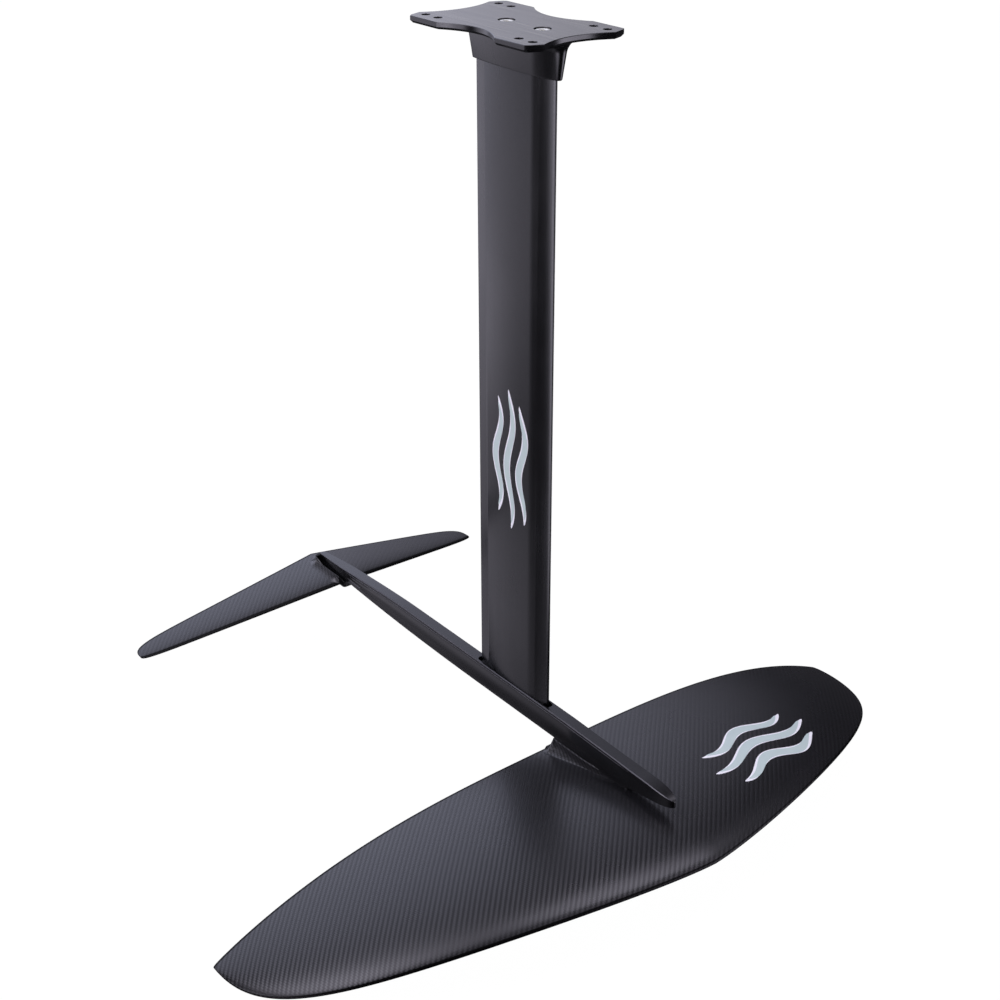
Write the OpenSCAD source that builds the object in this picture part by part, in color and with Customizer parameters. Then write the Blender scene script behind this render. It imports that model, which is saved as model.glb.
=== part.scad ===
// Hydrofoil for wing foiling: board plate, mast, fuselage, front wing and stabilizer, bolted together.
// Millimetres. +X points forward, +Y to port, +Z up. The origin is the centre of the board plate's
// upper face, which is also the centre of its bolt patterns, so the whole foil hangs below Z = 0.

/* [Board plate] */
// Length of the plate, front to back
plate_length = 194; // [190:1:200]
// Width of the plate
plate_width = 120; // [116:1:126]
// Thickness of the plate's flange
plate_thickness = 7; // [6.5:0.5:8]
// Depth of the scoop in each long side
side_scoop = 15.5; // [8:0.5:18]
// Depth of the scoop in each end
end_scoop = 12; // [6:0.5:12.5]
// Distance between the two tracks in the board
track_spacing = 90; // [86:1:92]
// Front-to-back distance of the outer holes
outer_hole_spacing = 165; // [160:1:168]
// Front-to-back distance of the inner holes
inner_hole_spacing = 125; // [120:1:130]
// Diameter of the board holes, a clear fit on M8
board_hole_d = 8.5; // [8.2:0.1:9]
// Depth of the collar's lower rim below the upper face
collar_depth = 44; // [36:1:60]

/* [Mast] */
// Distance from the plate's upper face to the fuselage's upper face
mast_reach = 750.5; // [600:0.5:900]
// Chord of the mast section
mast_chord = 124.5; // [120:0.5:130]
// Thickness of the mast section
mast_thickness = 13; // [12.4:0.2:13.6]
// Wall of the extrusion
mast_wall = 2.2; // [1.8:0.1:2.6]

/* [Fuselage] */
// Width of the bar
fuselage_width = 16; // [16:0.5:20]
// Height of the bar at the mast
fuselage_height = 31.5; // [30:0.5:36]
// Reach of the nose ahead of the origin
nose_reach = 273; // [268:1:285]
// Reach of the tail behind the origin
tail_reach = 417; // [412:1:420]

/* [Front wing] */
// Tip-to-tip span
wing_span = 902; // [700:2:1000]
// Root chord
wing_chord = 269; // [260:1:275]
// How far the tips drop below the root
wing_drop = 76; // [40:1:100]
// Thickness of the section, as a share of the chord
wing_thickness = 0.098; // [0.095:0.001:0.105]
// Thickness of the carbon skins at the section's crown
wing_skin = 1.6; // [1.2:0.1:2]

/* [Stabilizer] */
// Tip-to-tip span
stab_span = 532; // [400:2:600]
// Root chord
stab_chord = 91; // [88:1:96]
// How far the tips drop below the root
stab_drop = 59; // [30:1:70]
// Thickness of the section, as a share of the chord
stab_thickness = 0.09; // [0.085:0.001:0.1]
// Thickness of the carbon skins at the section's crown
stab_skin = 1.1; // [0.9:0.1:1.3]

/* [Hidden] */
$fn = 48;
eps = 0.01;          // overshoot of a cutter past the face it cuts
far = 400;           // longer than any cut needs to be

anodised = [0.16, 0.16, 0.17];
carbon = [0.24, 0.24, 0.27];
steel = [0.78, 0.78, 0.8];
foam = [0.85, 0.8, 0.6];
laminate = [0.3, 0.32, 0.28];

// Places that several parts share
mast_middle_x = 1.5;
screw_x = [-12.8, 41.7];               // the mast's two screw channels
mast_top_z = -12;                      // where the mast stops under the plate
fuselage_top_z = -mast_reach;
fuselage_bottom_z = fuselage_top_z - fuselage_height;
wing_te_x = 68.8;                      // the root section's trailing edge
wing_le_x = wing_te_x + wing_chord;
wing_z = fuselage_bottom_z - 20;       // the root section's chord line
wing_screw_x = [114, 144, 174];
stab_le_x = -355.8;
stab_seat_z = fuselage_top_z - 22.5;   // the flat under the tail
stab_z = stab_seat_z - 5.7;            // the root section's chord line
stab_screw_x = [-371, -395];
screw_play = 0.5;                      // how much wider than its screw a through bore is

// ---- Sections and lofts -------------------------------------------------------------------------

// Half thickness of a closed streamlined section at u, 0 at the nose and 1 at the tail, for chord 1
function half_section(u, t) =
    5 * t * (0.2969 * sqrt(u) - 0.126 * u - 0.3516 * u * u + 0.2843 * pow(u, 3) - 0.1036 * pow(u, 4));

// A superellipse's fall from 1 at e = 0 to 0 at e = 1
function rounded(e, p, q) = pow(max(1 - pow(e, p), 0), 1 / q);

// A wing is [thickness, camber, slope of the chord line, skin thickness, stations].
// A station is [y, leading edge x, chord, z, share of the full core at that place].
chord_steps = 16;
core_first = 2;
core_last = chord_steps - 3;
edge_half = 0.4;     // half of the trailing edge's thickness
function chord_place(i) = (1 - cos(180 * i / chord_steps)) / 2;

function outer_half(w, s, u) = half_section(u, w[0]) * s[2] + edge_half * u * min(1, s[2] / 40);

// The core follows the section inside the skins and closes to nothing at its own front and rear edges
function inner_half(w, s, i) =
    i <= core_first || i >= core_last ? 0 :
    let (
        a = chord_place(core_first),
        b = chord_place(core_last),
        u = chord_place(i),
        crown = w[0] * s[2] / 2,
        edge = min(1, min((u - a) / 0.06, (b - u) / 0.12))
    )
    outer_half(w, s, u) * max(0, 1 - w[3] / crown) * s[4] * sqrt(edge);

function wing_point(w, s, i, h) =
    let (u = chord_place(i))
    [s[1] - u * s[2], s[0], s[3] + 4 * w[1] * u * (1 - u) * s[2] - w[2] * (u - 0.5) * s[2] + h];

function upper_ring(w, s) = concat(
    [for (i = [0:chord_steps]) wing_point(w, s, i, outer_half(w, s, chord_place(i)))],
    [for (i = [chord_steps:-1:1]) wing_point(w, s, i, inner_half(w, s, i))]
);
function lower_ring(w, s) = concat(
    [for (i = [0:chord_steps]) wing_point(w, s, i, -inner_half(w, s, i))],
    [for (i = [chord_steps:-1:1]) wing_point(w, s, i, -outer_half(w, s, chord_place(i)))]
);
function core_ring(w, s) = concat(
    [for (i = [core_first:core_last]) wing_point(w, s, i, inner_half(w, s, i))],
    [for (i = [core_last - 1:-1:core_first + 1]) wing_point(w, s, i, -inner_half(w, s, i))]
);
// Everything below the wing's upper surface, used to cut what stands on it
function under_ring(w, s) = concat(
    [for (i = [0:chord_steps]) wing_point(w, s, i, outer_half(w, s, chord_place(i)))],
    [[s[1] - s[2], s[0], s[3] - 60], [s[1], s[0], s[3] - 60]]
);

// A closed solid through rings that all have the same number of points
module loft(rings) {
    n = len(rings[0]);
    m = len(rings);
    sides = [
        for (j = [0:m - 2]) for (i = [0:n - 1])
            let (k = (i + 1) % n, a = j * n, b = a + n)
            each [[a + i, a + k, b + k], [a + i, b + k, b + i]]
    ];
    first_cap = [[for (i = [n - 1:-1:0]) i]];
    last_cap = [[for (i = [0:n - 1]) (m - 1) * n + i]];
    polyhedron(points = [for (r = rings) each r], faces = concat(sides, first_cap, last_cap), convexity = 6);
}

// Stations are symmetric about y = 0 and crowd towards the tips, where the last one stops just short
// of a sharp point
tip_reach = 0.999;
function spread(steps) = [for (j = [-steps:steps]) tip_reach * sin(90 * j / steps)];
function core_share(h, reach) = rounded(min(h / reach, 1), 6, 2);

// The front wing's leading edge is a superellipse, and its trailing edge curves forward at the tips
front_te_bow = 6.4;
front_le_powers = [1.39, 2.39];
front_te_powers = [6, 5.86];
front_droop_power = 3;
front_core_reach = 0.93;
function front_station(e) =
    let (
        h = abs(e),
        le_run = wing_chord - front_te_bow,
        x_le = wing_te_x + front_te_bow + le_run * rounded(h, front_le_powers[0], front_le_powers[1]),
        x_te = wing_te_x + front_te_bow * (1 - rounded(h, front_te_powers[0], front_te_powers[1])),
        z = wing_z - wing_drop * pow(h, front_droop_power)
    )
    [e * wing_span / 2, x_le, x_le - x_te, z, core_share(h, front_core_reach)];

// The stabilizer tapers and sweeps back to small round tips
stab_taper = 0.6;
stab_tip_powers = [14, 3.3];
stab_tip_lead = 0.24;    // share of a tip's rounding that comes off its leading edge
stab_sweep = 78;
stab_sweep_power = 1.13;
stab_droop_power = 1.11;
stab_core_reach = 0.9;
function stab_station(e) =
    let (
        h = abs(e),
        full = stab_chord * (1 - stab_taper * h),
        chord = full * rounded(h, stab_tip_powers[0], stab_tip_powers[1]),
        x_le = stab_le_x - stab_sweep * pow(h, stab_sweep_power) - stab_tip_lead * (full - chord),
        z = stab_z - stab_drop * pow(h, stab_droop_power)
    )
    [e * stab_span / 2, x_le, chord, z, core_share(h, stab_core_reach)];

front_camber = 0.02;
front_incidence = 0.022;
stab_camber = 0;
stab_incidence = -0.016;
front_wing = [
    wing_thickness, front_camber, front_incidence, wing_skin, [for (e = spread(14)) front_station(e)]
];
stabilizer = [
    stab_thickness, stab_camber, stab_incidence, stab_skin, [for (e = spread(11)) stab_station(e)]
];

function inboard(w, limit) = [for (s = w[4]) if (abs(s[0]) < limit) s];
function with_core(w) = [for (s = w[4]) if (s[4] > 0.05) s];

module upper_skin(w) { loft([for (s = w[4]) upper_ring(w, s)]); }
module lower_skin(w) { loft([for (s = w[4]) lower_ring(w, s)]); }
module whole_core(w) { loft([for (s = with_core(w)) core_ring(w, s)]); }
module under_wing(w) { loft([for (s = inboard(w, 120)) under_ring(w, s)]); }

// Height of the wing's lower surface on its centre line at x
function bottom_at(w, s, x) =
    let (u = (s[1] - x) / s[2])
    s[3] + 4 * w[1] * u * (1 - u) * s[2] - w[2] * (u - 0.5) * s[2] - outer_half(w, s, u);
front_root = front_station(0);
stab_root = stab_station(0);
function front_bottom(x) = bottom_at(front_wing, front_root, x);
function stab_bottom(x) = bottom_at(stabilizer, stab_root, x);

// ---- Fasteners ----------------------------------------------------------------------------------

// A six-sided key socket along Z, from z = 0 upwards
module key_socket(across_flats, depth) {
    cylinder(d = across_flats / cos(30), h = depth, $fn = 6);
}

// A socket screw along Z with the underside of its head at z = 0 and its shank going down
module cap_screw(d, head_d, head_h, length, socket_af) {
    socket_floor = 0.45 * head_h;
    difference() {
        union() {
            cylinder(d = head_d, h = head_h);
            translate([0, 0, -length]) cylinder(d = d, h = length + eps);
        }
        translate([0, 0, socket_floor]) key_socket(socket_af, head_h);
    }
}

// A countersunk screw along Z with the top of its head at z = 0 and its shank going down
module flat_screw(d, head_d, length, socket_af) {
    cone_h = (head_d - d) / 2;
    socket_depth = 0.75 * cone_h;
    difference() {
        union() {
            translate([0, 0, -cone_h]) cylinder(d1 = d, d2 = head_d, h = cone_h);
            translate([0, 0, -length]) cylinder(d = d, h = length - cone_h + eps);
        }
        translate([0, 0, -socket_depth]) key_socket(socket_af, cone_h);
    }
}

// A threaded sleeve along Z, from z = 0 upwards
module thread_insert(outer_d, inner_d, length) {
    difference() {
        cylinder(d = outer_d, h = length);
        translate([0, 0, -eps]) cylinder(d = inner_d, h = length + 2 * eps);
    }
}

// A countersunk washer along Z with its mouth at z = 0 and its foot above it
module screw_cup(outer_d, mouth_d, bore_d, height) {
    cone_h = (mouth_d - bore_d) / 2;
    difference() {
        cylinder(d = outer_d, h = height);
        translate([0, 0, -eps]) cylinder(d1 = mouth_d + 2 * eps, d2 = bore_d, h = cone_h);
        translate([0, 0, -eps]) cylinder(d = bore_d, h = height + 2 * eps);
    }
}

// ---- Board plate --------------------------------------------------------------------------------

screw_d = 8;
plate_head_d = 15;
plate_head_h = 5.2;
plate_head_seat = -6.2;
plate_screw_length = 34;
plate_socket_af = 5;
counterbore_play = 1.8;
side_scoop_half = 45;    // half the length of each scoop in a long side
end_scoop_half = 43;     // half the width of each scoop in an end
corner_taper = [5, 3.5]; // length and width lost where the end of a lobe starts to turn
corner_cut = 8.5;        // length that each corner loses in all
scoop_steps = 10;

// One quarter of the plate's outline, from the middle of the front end to the middle of the port side
function plate_quarter() =
    let (hx = plate_length / 2, hy = plate_width / 2)
    concat(
        [for (i = [0:scoop_steps]) let (t = i / scoop_steps)
            [hx - end_scoop * (1 - t * t), end_scoop_half * t]],
        [[hx - corner_taper[0], hy - corner_taper[1]], [hx - corner_cut, hy]],
        [for (i = [scoop_steps:-1:0]) let (t = i / scoop_steps)
            [side_scoop_half * t, hy - side_scoop * (1 - t * t)]]
    );
function plate_outline() =
    let (q = plate_quarter(), n = len(q))
    concat(
        q,
        [for (i = [n - 2:-1:0]) [-q[i][0], q[i][1]]],
        [for (i = [1:n - 1]) [-q[i][0], -q[i][1]]],
        [for (i = [n - 2:-1:1]) [q[i][0], -q[i][1]]]
    );

// Half thickness of the mast section at u, 0 at the nose and 1 at the tail
nose_share = 0.24;
tail_power = 2.9;
mast_edge_half = 0.9;
function mast_half(u) =
    let (
        crown = mast_thickness / 2,
        aft = (u - nose_share) / (1 - nose_share)
    )
    u < nose_share
        ? crown * rounded(1 - u / nose_share, 1.3, 1.9)
        : mast_edge_half + (crown - mast_edge_half) * (1 - pow(aft, tail_power));

// The section, grown by side on its flanks, by nose ahead of it and by tail behind it
section_steps = 22;
function section_place(i) = pow((1 - cos(180 * i / section_steps)) / 2, 1.2);
function end_round(d, r) = r <= 0 ? 1 : sqrt(1 - pow(1 - min(1, d / r), 2));
function outline_half(u, chord, side) =
    let (tail_round = end_round((1 - u) * chord + eps, side))
    tail_round * (mast_half(u) + side * end_round(u * chord, 2 * side));
function mast_outline(nose = 0, tail = 0, side = 0) =
    let (
        x_nose = mast_middle_x + mast_chord / 2 + nose,
        chord = mast_chord + nose + tail,
        flank = [for (i = [0:section_steps]) let (u = section_place(i))
            [x_nose - u * chord, outline_half(u, chord, side)]]
    )
    concat(flank, [for (i = [section_steps:-1:1]) [flank[i][0], -flank[i][1]]]);
// The outline as one ring of a loft that rises along +Z
function at_height(outline, z) =
    [for (i = [len(outline) - 1:-1:0]) [outline[i][0], outline[i][1], z]];

// The collar starts from a rounded rim, widens upwards and flares into the plate's underside.
// Growth is given for its nose, its tail and its flanks.
rim_round = 1.6;
collar_growth = [5.5, 4.6, 1.7];     // beyond the mast, at the rim
collar_draft = [0.18, 0.18, 0.11];   // added per millimetre above the rim
flare_r = 11;
function collar_ring(z, more) =
    let (g = [for (i = [0:2]) collar_growth[i] + collar_draft[i] * (z + collar_depth) + more])
    at_height(mast_outline(g[0], g[1], g[2]), z);
function collar_rings() = concat(
    [collar_ring(-collar_depth, -rim_round * 0.7), collar_ring(-collar_depth + rim_round, 0)],
    [for (a = [0:15:90]) collar_ring(-plate_thickness - flare_r * (1 - sin(a)), flare_r * (1 - cos(a)))],
    [collar_ring(-plate_thickness + 1, flare_r)]
);

module top_plate() {
    color(anodised) difference() {
        union() {
            translate([0, 0, -plate_thickness]) linear_extrude(plate_thickness) polygon(plate_outline());
            intersection() {
                loft(collar_rings());
                translate([0, 0, -far]) linear_extrude(far) polygon(plate_outline());
            }
        }
        translate([0, 0, -far]) linear_extrude(far + mast_top_z) polygon(mast_outline());
        for (x = [-1, 1], y = [-1, 1], spacing = [outer_hole_spacing, inner_hole_spacing])
            translate([x * spacing / 2, y * track_spacing / 2, -plate_thickness - 1])
                cylinder(d = board_hole_d, h = plate_thickness + 2);
        for (x = screw_x) translate([x, 0, 0]) {
            translate([0, 0, plate_head_seat]) cylinder(d = plate_head_d + counterbore_play, h = far);
            translate([0, 0, mast_top_z - 1]) cylinder(d = screw_d + screw_play, h = far);
        }
    }
}

module plate_screws() {
    color(steel) for (x = screw_x)
        translate([x, 0, plate_head_seat])
            cap_screw(screw_d, plate_head_d, plate_head_h, plate_screw_length, plate_socket_af);
}

// ---- Mast ---------------------------------------------------------------------------------------

insert_d = 9.4;
insert_length = 24;
tenon_length = 12;
tenon_width = 9.6;
tenon_ahead = 3;         // how far the tenon stops short of the section's nose and tail
channel_land = 7;        // half the length of solid metal round each screw channel
tenon_root = 5;          // how far the tenon reaches up into the section
nose_wall = 3.5;         // solid metal ahead of the front hollow
tail_wall = 18;          // solid metal behind the rear hollow
hollow_tip_half = 0.4;   // least half width of a hollow

// The tenon's plan, a bar with round ends; gap widens it and longer adds to each end
module tenon_shape(gap = 0, longer = 0) {
    r = tenon_width / 2 + gap;
    reach = mast_chord / 2 - tenon_ahead - tenon_width / 2 + longer;
    for (side = [-1, 1]) translate([mast_middle_x + side * reach, 0]) circle(r);
    translate([mast_middle_x - reach, -r]) square([2 * reach, 2 * r]);
}

// One hollow of the extrusion, between x0 and x1
module mast_hollow(x0, x1) {
    steps = 8;
    x_nose = mast_middle_x + mast_chord / 2;
    edge = [for (i = [0:steps]) let (x = x0 + (x1 - x0) * i / steps)
        [x, max(hollow_tip_half, mast_half((x_nose - x) / mast_chord) - mast_wall)]];
    translate([0, 0, -far * 3]) linear_extrude(far * 4)
        polygon(concat(edge, [for (i = [steps:-1:0]) [edge[i][0], -edge[i][1]]]));
}

module mast() {
    x_nose = mast_middle_x + mast_chord / 2;
    x_tail = mast_middle_x - mast_chord / 2;
    color(anodised) difference() {
        union() {
            translate([0, 0, fuselage_top_z])
                linear_extrude(mast_top_z - fuselage_top_z) polygon(mast_outline());
            translate([0, 0, fuselage_top_z - tenon_length])
                linear_extrude(tenon_length + tenon_root) intersection() {
                    tenon_shape();
                    polygon(mast_outline());
                }
        }
        mast_hollow(screw_x[1] + channel_land, x_nose - nose_wall);
        mast_hollow(screw_x[0] + channel_land, screw_x[1] - channel_land);
        mast_hollow(x_tail + tail_wall, screw_x[0] - channel_land);
        for (x = screw_x) translate([x, 0, -far * 3]) cylinder(d = screw_d, h = far * 4);
        for (x = screw_x) translate([x, 0, mast_top_z - insert_length]) cylinder(d = insert_d, h = far);
        for (x = screw_x) translate([x, 0, fuselage_top_z - tenon_length - 1])
            cylinder(d = insert_d, h = insert_length + 1);
    }
}

module mast_head_inserts() {
    color(steel) for (x = screw_x)
        translate([x, 0, mast_top_z - insert_length]) thread_insert(insert_d, screw_d, insert_length);
}

module mast_foot_inserts() {
    color(steel) for (x = screw_x)
        translate([x, 0, fuselage_top_z - tenon_length]) thread_insert(insert_d, screw_d, insert_length);
}

// ---- Fuselage -----------------------------------------------------------------------------------

foot_head_d = 13;
foot_head_h = 8;
foot_head_sink = 1;      // how far a foot screw's head sits inside the fuselage's underside
foot_head_play = 0.6;
foot_screw_length = 26;
foot_socket_af = 6;
foot_seat_z = fuselage_bottom_z + foot_head_h + foot_head_sink;
pocket_gap = 0.3;
pocket_depth = tenon_length + 0.5;
pocket_longer = 7;       // how far the pocket runs past the tenon at each end
wing_insert_length = 17;
tail_insert_length = 9;
tail_screw_d = 6;
tail_insert_d = 7.2;

// The top slopes a little towards the nose, rounds down over it, and falls away towards the tail
nose_slope_x = 100;
nose_round_x = 222;
nose_slope_drop = 3;
nose_round_drop = 8;
tail_slope_x = -215;
function fuselage_top(x) =
    let (
        into_nose = (x - nose_round_x) / (nose_reach - nose_round_x),
        along_slope = (x - nose_slope_x) / (nose_round_x - nose_slope_x),
        past_tail = (tail_slope_x - x) / 180
    )
    x > nose_round_x
        ? fuselage_top_z - nose_slope_drop - nose_round_drop * (1 - sqrt(max(0, 1 - pow(into_nose, 2))))
    : x > nose_slope_x ? fuselage_top_z - nose_slope_drop * along_slope
    : x < tail_slope_x ? fuselage_top_z - 9 * pow(past_tail, 1.45)
    : fuselage_top_z;

// The underside lifts off the wing under the nose, and rises to the flat seat under the tail
nose_lift_x = 190;
nose_lift = 13.5;
tail_rise_x = -60;
tail_flat_x = -336;
function fuselage_bottom(x) =
    let (
        into_nose = (x - nose_lift_x) / (nose_reach - nose_lift_x),
        into_tail = (tail_rise_x - x) / (tail_rise_x - tail_flat_x),
        tail_rise = stab_seat_z - fuselage_bottom_z
    )
    x > nose_lift_x ? fuselage_bottom_z + nose_lift * pow(into_nose, 0.9)
    : x < tail_flat_x ? stab_seat_z
    : x < tail_rise_x ? fuselage_bottom_z + tail_rise * pow(into_tail, 2.2)
    : fuselage_bottom_z;

// The flanks close to a bullet nose and draw in a little at the tail
nose_narrow_x = 240;
tail_narrow_x = -330;
tail_narrowing = 4.2;
function fuselage_half(x) =
    let (
        full = fuselage_width / 2,
        into_nose = (x - nose_narrow_x) / (nose_reach - nose_narrow_x),
        into_tail = (tail_narrow_x - x) / (tail_reach + tail_narrow_x)
    )
    x > nose_narrow_x ? full * sqrt(max(0, 1 - pow(into_nose, 2.4)))
    : x < tail_narrow_x ? full - tail_narrowing * pow(into_tail, 1.6)
    : full;

// Places along the bar, closer together at the nose and tail
bar_places = concat(
    [for (i = [0:10]) -tail_reach + (tail_reach - 200) * i / 10],
    [-130, tail_rise_x, 20, nose_slope_x, 145],
    [for (i = [0:12]) nose_lift_x + (nose_reach - nose_lift_x) * sin(90 * i / 12)]
);
// The bar's outline in one view, between an upper and a lower line; the nose keeps a blunt_tip so that
// the two lines don't meet in a point
blunt_tip = 1;
function bar_outline(upper, lower) =
    let (n = len(bar_places))
    concat(
        [for (i = [0:n - 1]) [bar_places[i], upper[i]]],
        [for (i = [n - 1:-1:0]) [bar_places[i], lower[i] - (i == n - 1 ? blunt_tip : 0)]]
    );
bar_side_view = bar_outline(
    [for (x = bar_places) fuselage_top(x)], [for (x = bar_places) fuselage_bottom(x)]
);
bar_top_view = bar_outline(
    [for (x = bar_places) fuselage_half(x)], [for (x = bar_places) -fuselage_half(x)]
);

// Cross-section with broken edges and a shallow cove along each flank
edge_break = 1.2;
cove_depth = 1.1;
cove_slope = 3;          // height over which the cove reaches its depth
cove_land = 5;           // flat flank above and below the cove
module bar_section() {
    h = fuselage_width / 2;
    top = fuselage_top_z;
    low = fuselage_bottom_z;
    flank = [
        [h - edge_break, top], [h, top - edge_break],
        [h, top - cove_land], [h - cove_depth, top - cove_land - cove_slope],
        [h - cove_depth, low + cove_land + cove_slope], [h, low + cove_land],
        [h, low + edge_break], [h - edge_break, low]
    ];
    polygon(concat(flank, [for (i = [len(flank) - 1:-1:0]) [-flank[i][0], flank[i][1]]]));
}

module fuselage() {
    color(anodised) difference() {
        intersection() {
            rotate([90, 0, 0]) translate([0, 0, -far / 2]) linear_extrude(far) polygon(bar_side_view);
            translate([0, 0, -far * 3]) linear_extrude(far * 4) polygon(bar_top_view);
            rotate([90, 0, 90]) translate([0, 0, -far * 1.5]) linear_extrude(far * 3) bar_section();
        }
        translate([0, 0, fuselage_top_z - pocket_depth]) linear_extrude(far)
            tenon_shape(pocket_gap, pocket_longer);
        for (x = screw_x) translate([x, 0, fuselage_bottom_z - far]) {
            cylinder(d = screw_d + screw_play, h = far + fuselage_height);
            cylinder(d = foot_head_d + foot_head_play, h = far + foot_head_h + foot_head_sink);
        }
        for (x = wing_screw_x) translate([x, 0, fuselage_bottom_z - 1])
            cylinder(d = insert_d, h = wing_insert_length + 1);
        for (x = stab_screw_x) translate([x, 0, stab_seat_z - 1])
            cylinder(d = tail_insert_d, h = tail_insert_length + 1);
    }
}

module mast_foot_screws() {
    color(steel) for (x = screw_x)
        translate([x, 0, foot_seat_z]) mirror([0, 0, 1])
            cap_screw(screw_d, foot_head_d, foot_head_h, foot_screw_length, foot_socket_af);
}

module fuselage_wing_inserts() {
    color(steel) for (x = wing_screw_x)
        translate([x, 0, fuselage_bottom_z]) thread_insert(insert_d, screw_d, wing_insert_length);
}

module fuselage_tail_inserts() {
    color(steel) for (x = stab_screw_x)
        translate([x, 0, stab_seat_z]) thread_insert(tail_insert_d, tail_screw_d, tail_insert_length);
}

// ---- Front wing ---------------------------------------------------------------------------------

cup_d = 19;
cup_mouth_d = 16;
cup_h = 6;
cup_sink = 0.6;          // how far a cup's mouth sits inside the skin
wing_head_d = 15.6;
wing_head_sink = 0.2;    // how far a screw's head sits inside its cup
wing_socket_af = 5;
wing_block = [78, 262, 15];   // from x, to x, half width

module front_wing_bores() {
    for (x = wing_screw_x)
        translate([x, 0, fuselage_bottom_z - far]) cylinder(d = screw_d + screw_play, h = far + 1);
}
module front_cup_recesses() {
    for (x = wing_screw_x)
        translate([x, 0, front_bottom(x) - far]) cylinder(d = cup_d, h = far + cup_sink + cup_h);
}
module block_space(block) {
    translate([block[0], -block[2], -far * 3]) cube([block[1] - block[0], 2 * block[2], far * 3]);
}

module front_wing_upper_skin() {
    color(carbon) difference() {
        upper_skin(front_wing);
        front_wing_bores();
    }
}
module front_wing_lower_skin() {
    color(carbon) difference() {
        lower_skin(front_wing);
        front_cup_recesses();
    }
}
module front_wing_core() {
    color(foam) difference() {
        whole_core(front_wing);
        block_space(wing_block);
    }
}
module front_wing_root_block() {
    color(laminate) difference() {
        intersection() {
            whole_core(front_wing);
            block_space(wing_block);
        }
        front_wing_bores();
        front_cup_recesses();
    }
}

// The raised seat under the fuselage: upright sides that draw in under the bar, a sloped rear end and a
// rounded front end
seat_half = 9;
seat_narrow_half = 4.5;
seat_narrow_x = [134, 190];   // where the sides draw in
seat_front = 200;             // centre of the rounded front end
seat_back = 82;
seat_height = 26;        // deep enough to reach into the wing everywhere
seat_rear_run = 9;       // how far the rear end slopes back on its way down
seat_rear_drop = 20;
module front_wing_seat() {
    low = fuselage_bottom_z - seat_height;
    heel = seat_back - seat_rear_run;
    color(carbon) difference() {
        intersection() {
            translate([0, 0, low]) linear_extrude(seat_height) polygon(concat(
                [[heel, seat_half], [seat_narrow_x[0], seat_half], [seat_narrow_x[1], seat_narrow_half]],
                [for (a = [90:-15:-90]) [seat_front + seat_narrow_half * cos(a), seat_narrow_half * sin(a)]],
                [[seat_narrow_x[1], -seat_narrow_half], [seat_narrow_x[0], -seat_half], [heel, -seat_half]]
            ));
            rotate([90, 0, 0]) translate([0, 0, -far / 2]) linear_extrude(far) polygon([
                [seat_back, fuselage_bottom_z], [heel, fuselage_bottom_z - seat_rear_drop],
                [heel, low], [wing_le_x, low], [wing_le_x, fuselage_bottom_z]
            ]);
        }
        under_wing(front_wing);
        front_wing_bores();
    }
}

module front_wing_screw_cups() {
    color(steel) for (x = wing_screw_x)
        translate([x, 0, front_bottom(x) + cup_sink])
            screw_cup(cup_d, cup_mouth_d, screw_d + screw_play, cup_h);
}
module front_wing_screws() {
    color(steel) for (x = wing_screw_x) {
        head_z = front_bottom(x) + cup_sink + wing_head_sink;
        end_z = fuselage_bottom_z + wing_insert_length - 1;
        translate([x, 0, head_z]) mirror([0, 0, 1])
            flat_screw(screw_d, wing_head_d, end_z - head_z, wing_socket_af);
    }
}

// ---- Stabilizer ---------------------------------------------------------------------------------

stab_cup_d = 13;
stab_cup_mouth_d = 11.6;
stab_cup_h = 3.2;
stab_cup_sink = 0.2;
stab_head_d = 11.2;
stab_head_sink = 0.1;
stab_socket_af = 4;
tail_screw_play = 0.4;
stab_block = [-404, -350, 13];   // from x, to x, half width; reaches past the core's front edge

module stab_bores() {
    for (x = stab_screw_x)
        translate([x, 0, stab_seat_z - far]) cylinder(d = tail_screw_d + tail_screw_play, h = far + 1);
}
module stab_cup_recesses() {
    for (x = stab_screw_x)
        translate([x, 0, stab_bottom(x) - far])
            cylinder(d = stab_cup_d, h = far + stab_cup_sink + stab_cup_h);
}

module stabilizer_upper_skin() {
    color(carbon) difference() {
        upper_skin(stabilizer);
        stab_bores();
    }
}
module stabilizer_lower_skin() {
    color(carbon) difference() {
        lower_skin(stabilizer);
        stab_cup_recesses();
    }
}
module stabilizer_core() {
    color(foam) difference() {
        whole_core(stabilizer);
        block_space(stab_block);
    }
}
module stabilizer_root_block() {
    color(laminate) difference() {
        intersection() {
            whole_core(stabilizer);
            block_space(stab_block);
        }
        stab_bores();
        stab_cup_recesses();
    }
}

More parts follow.
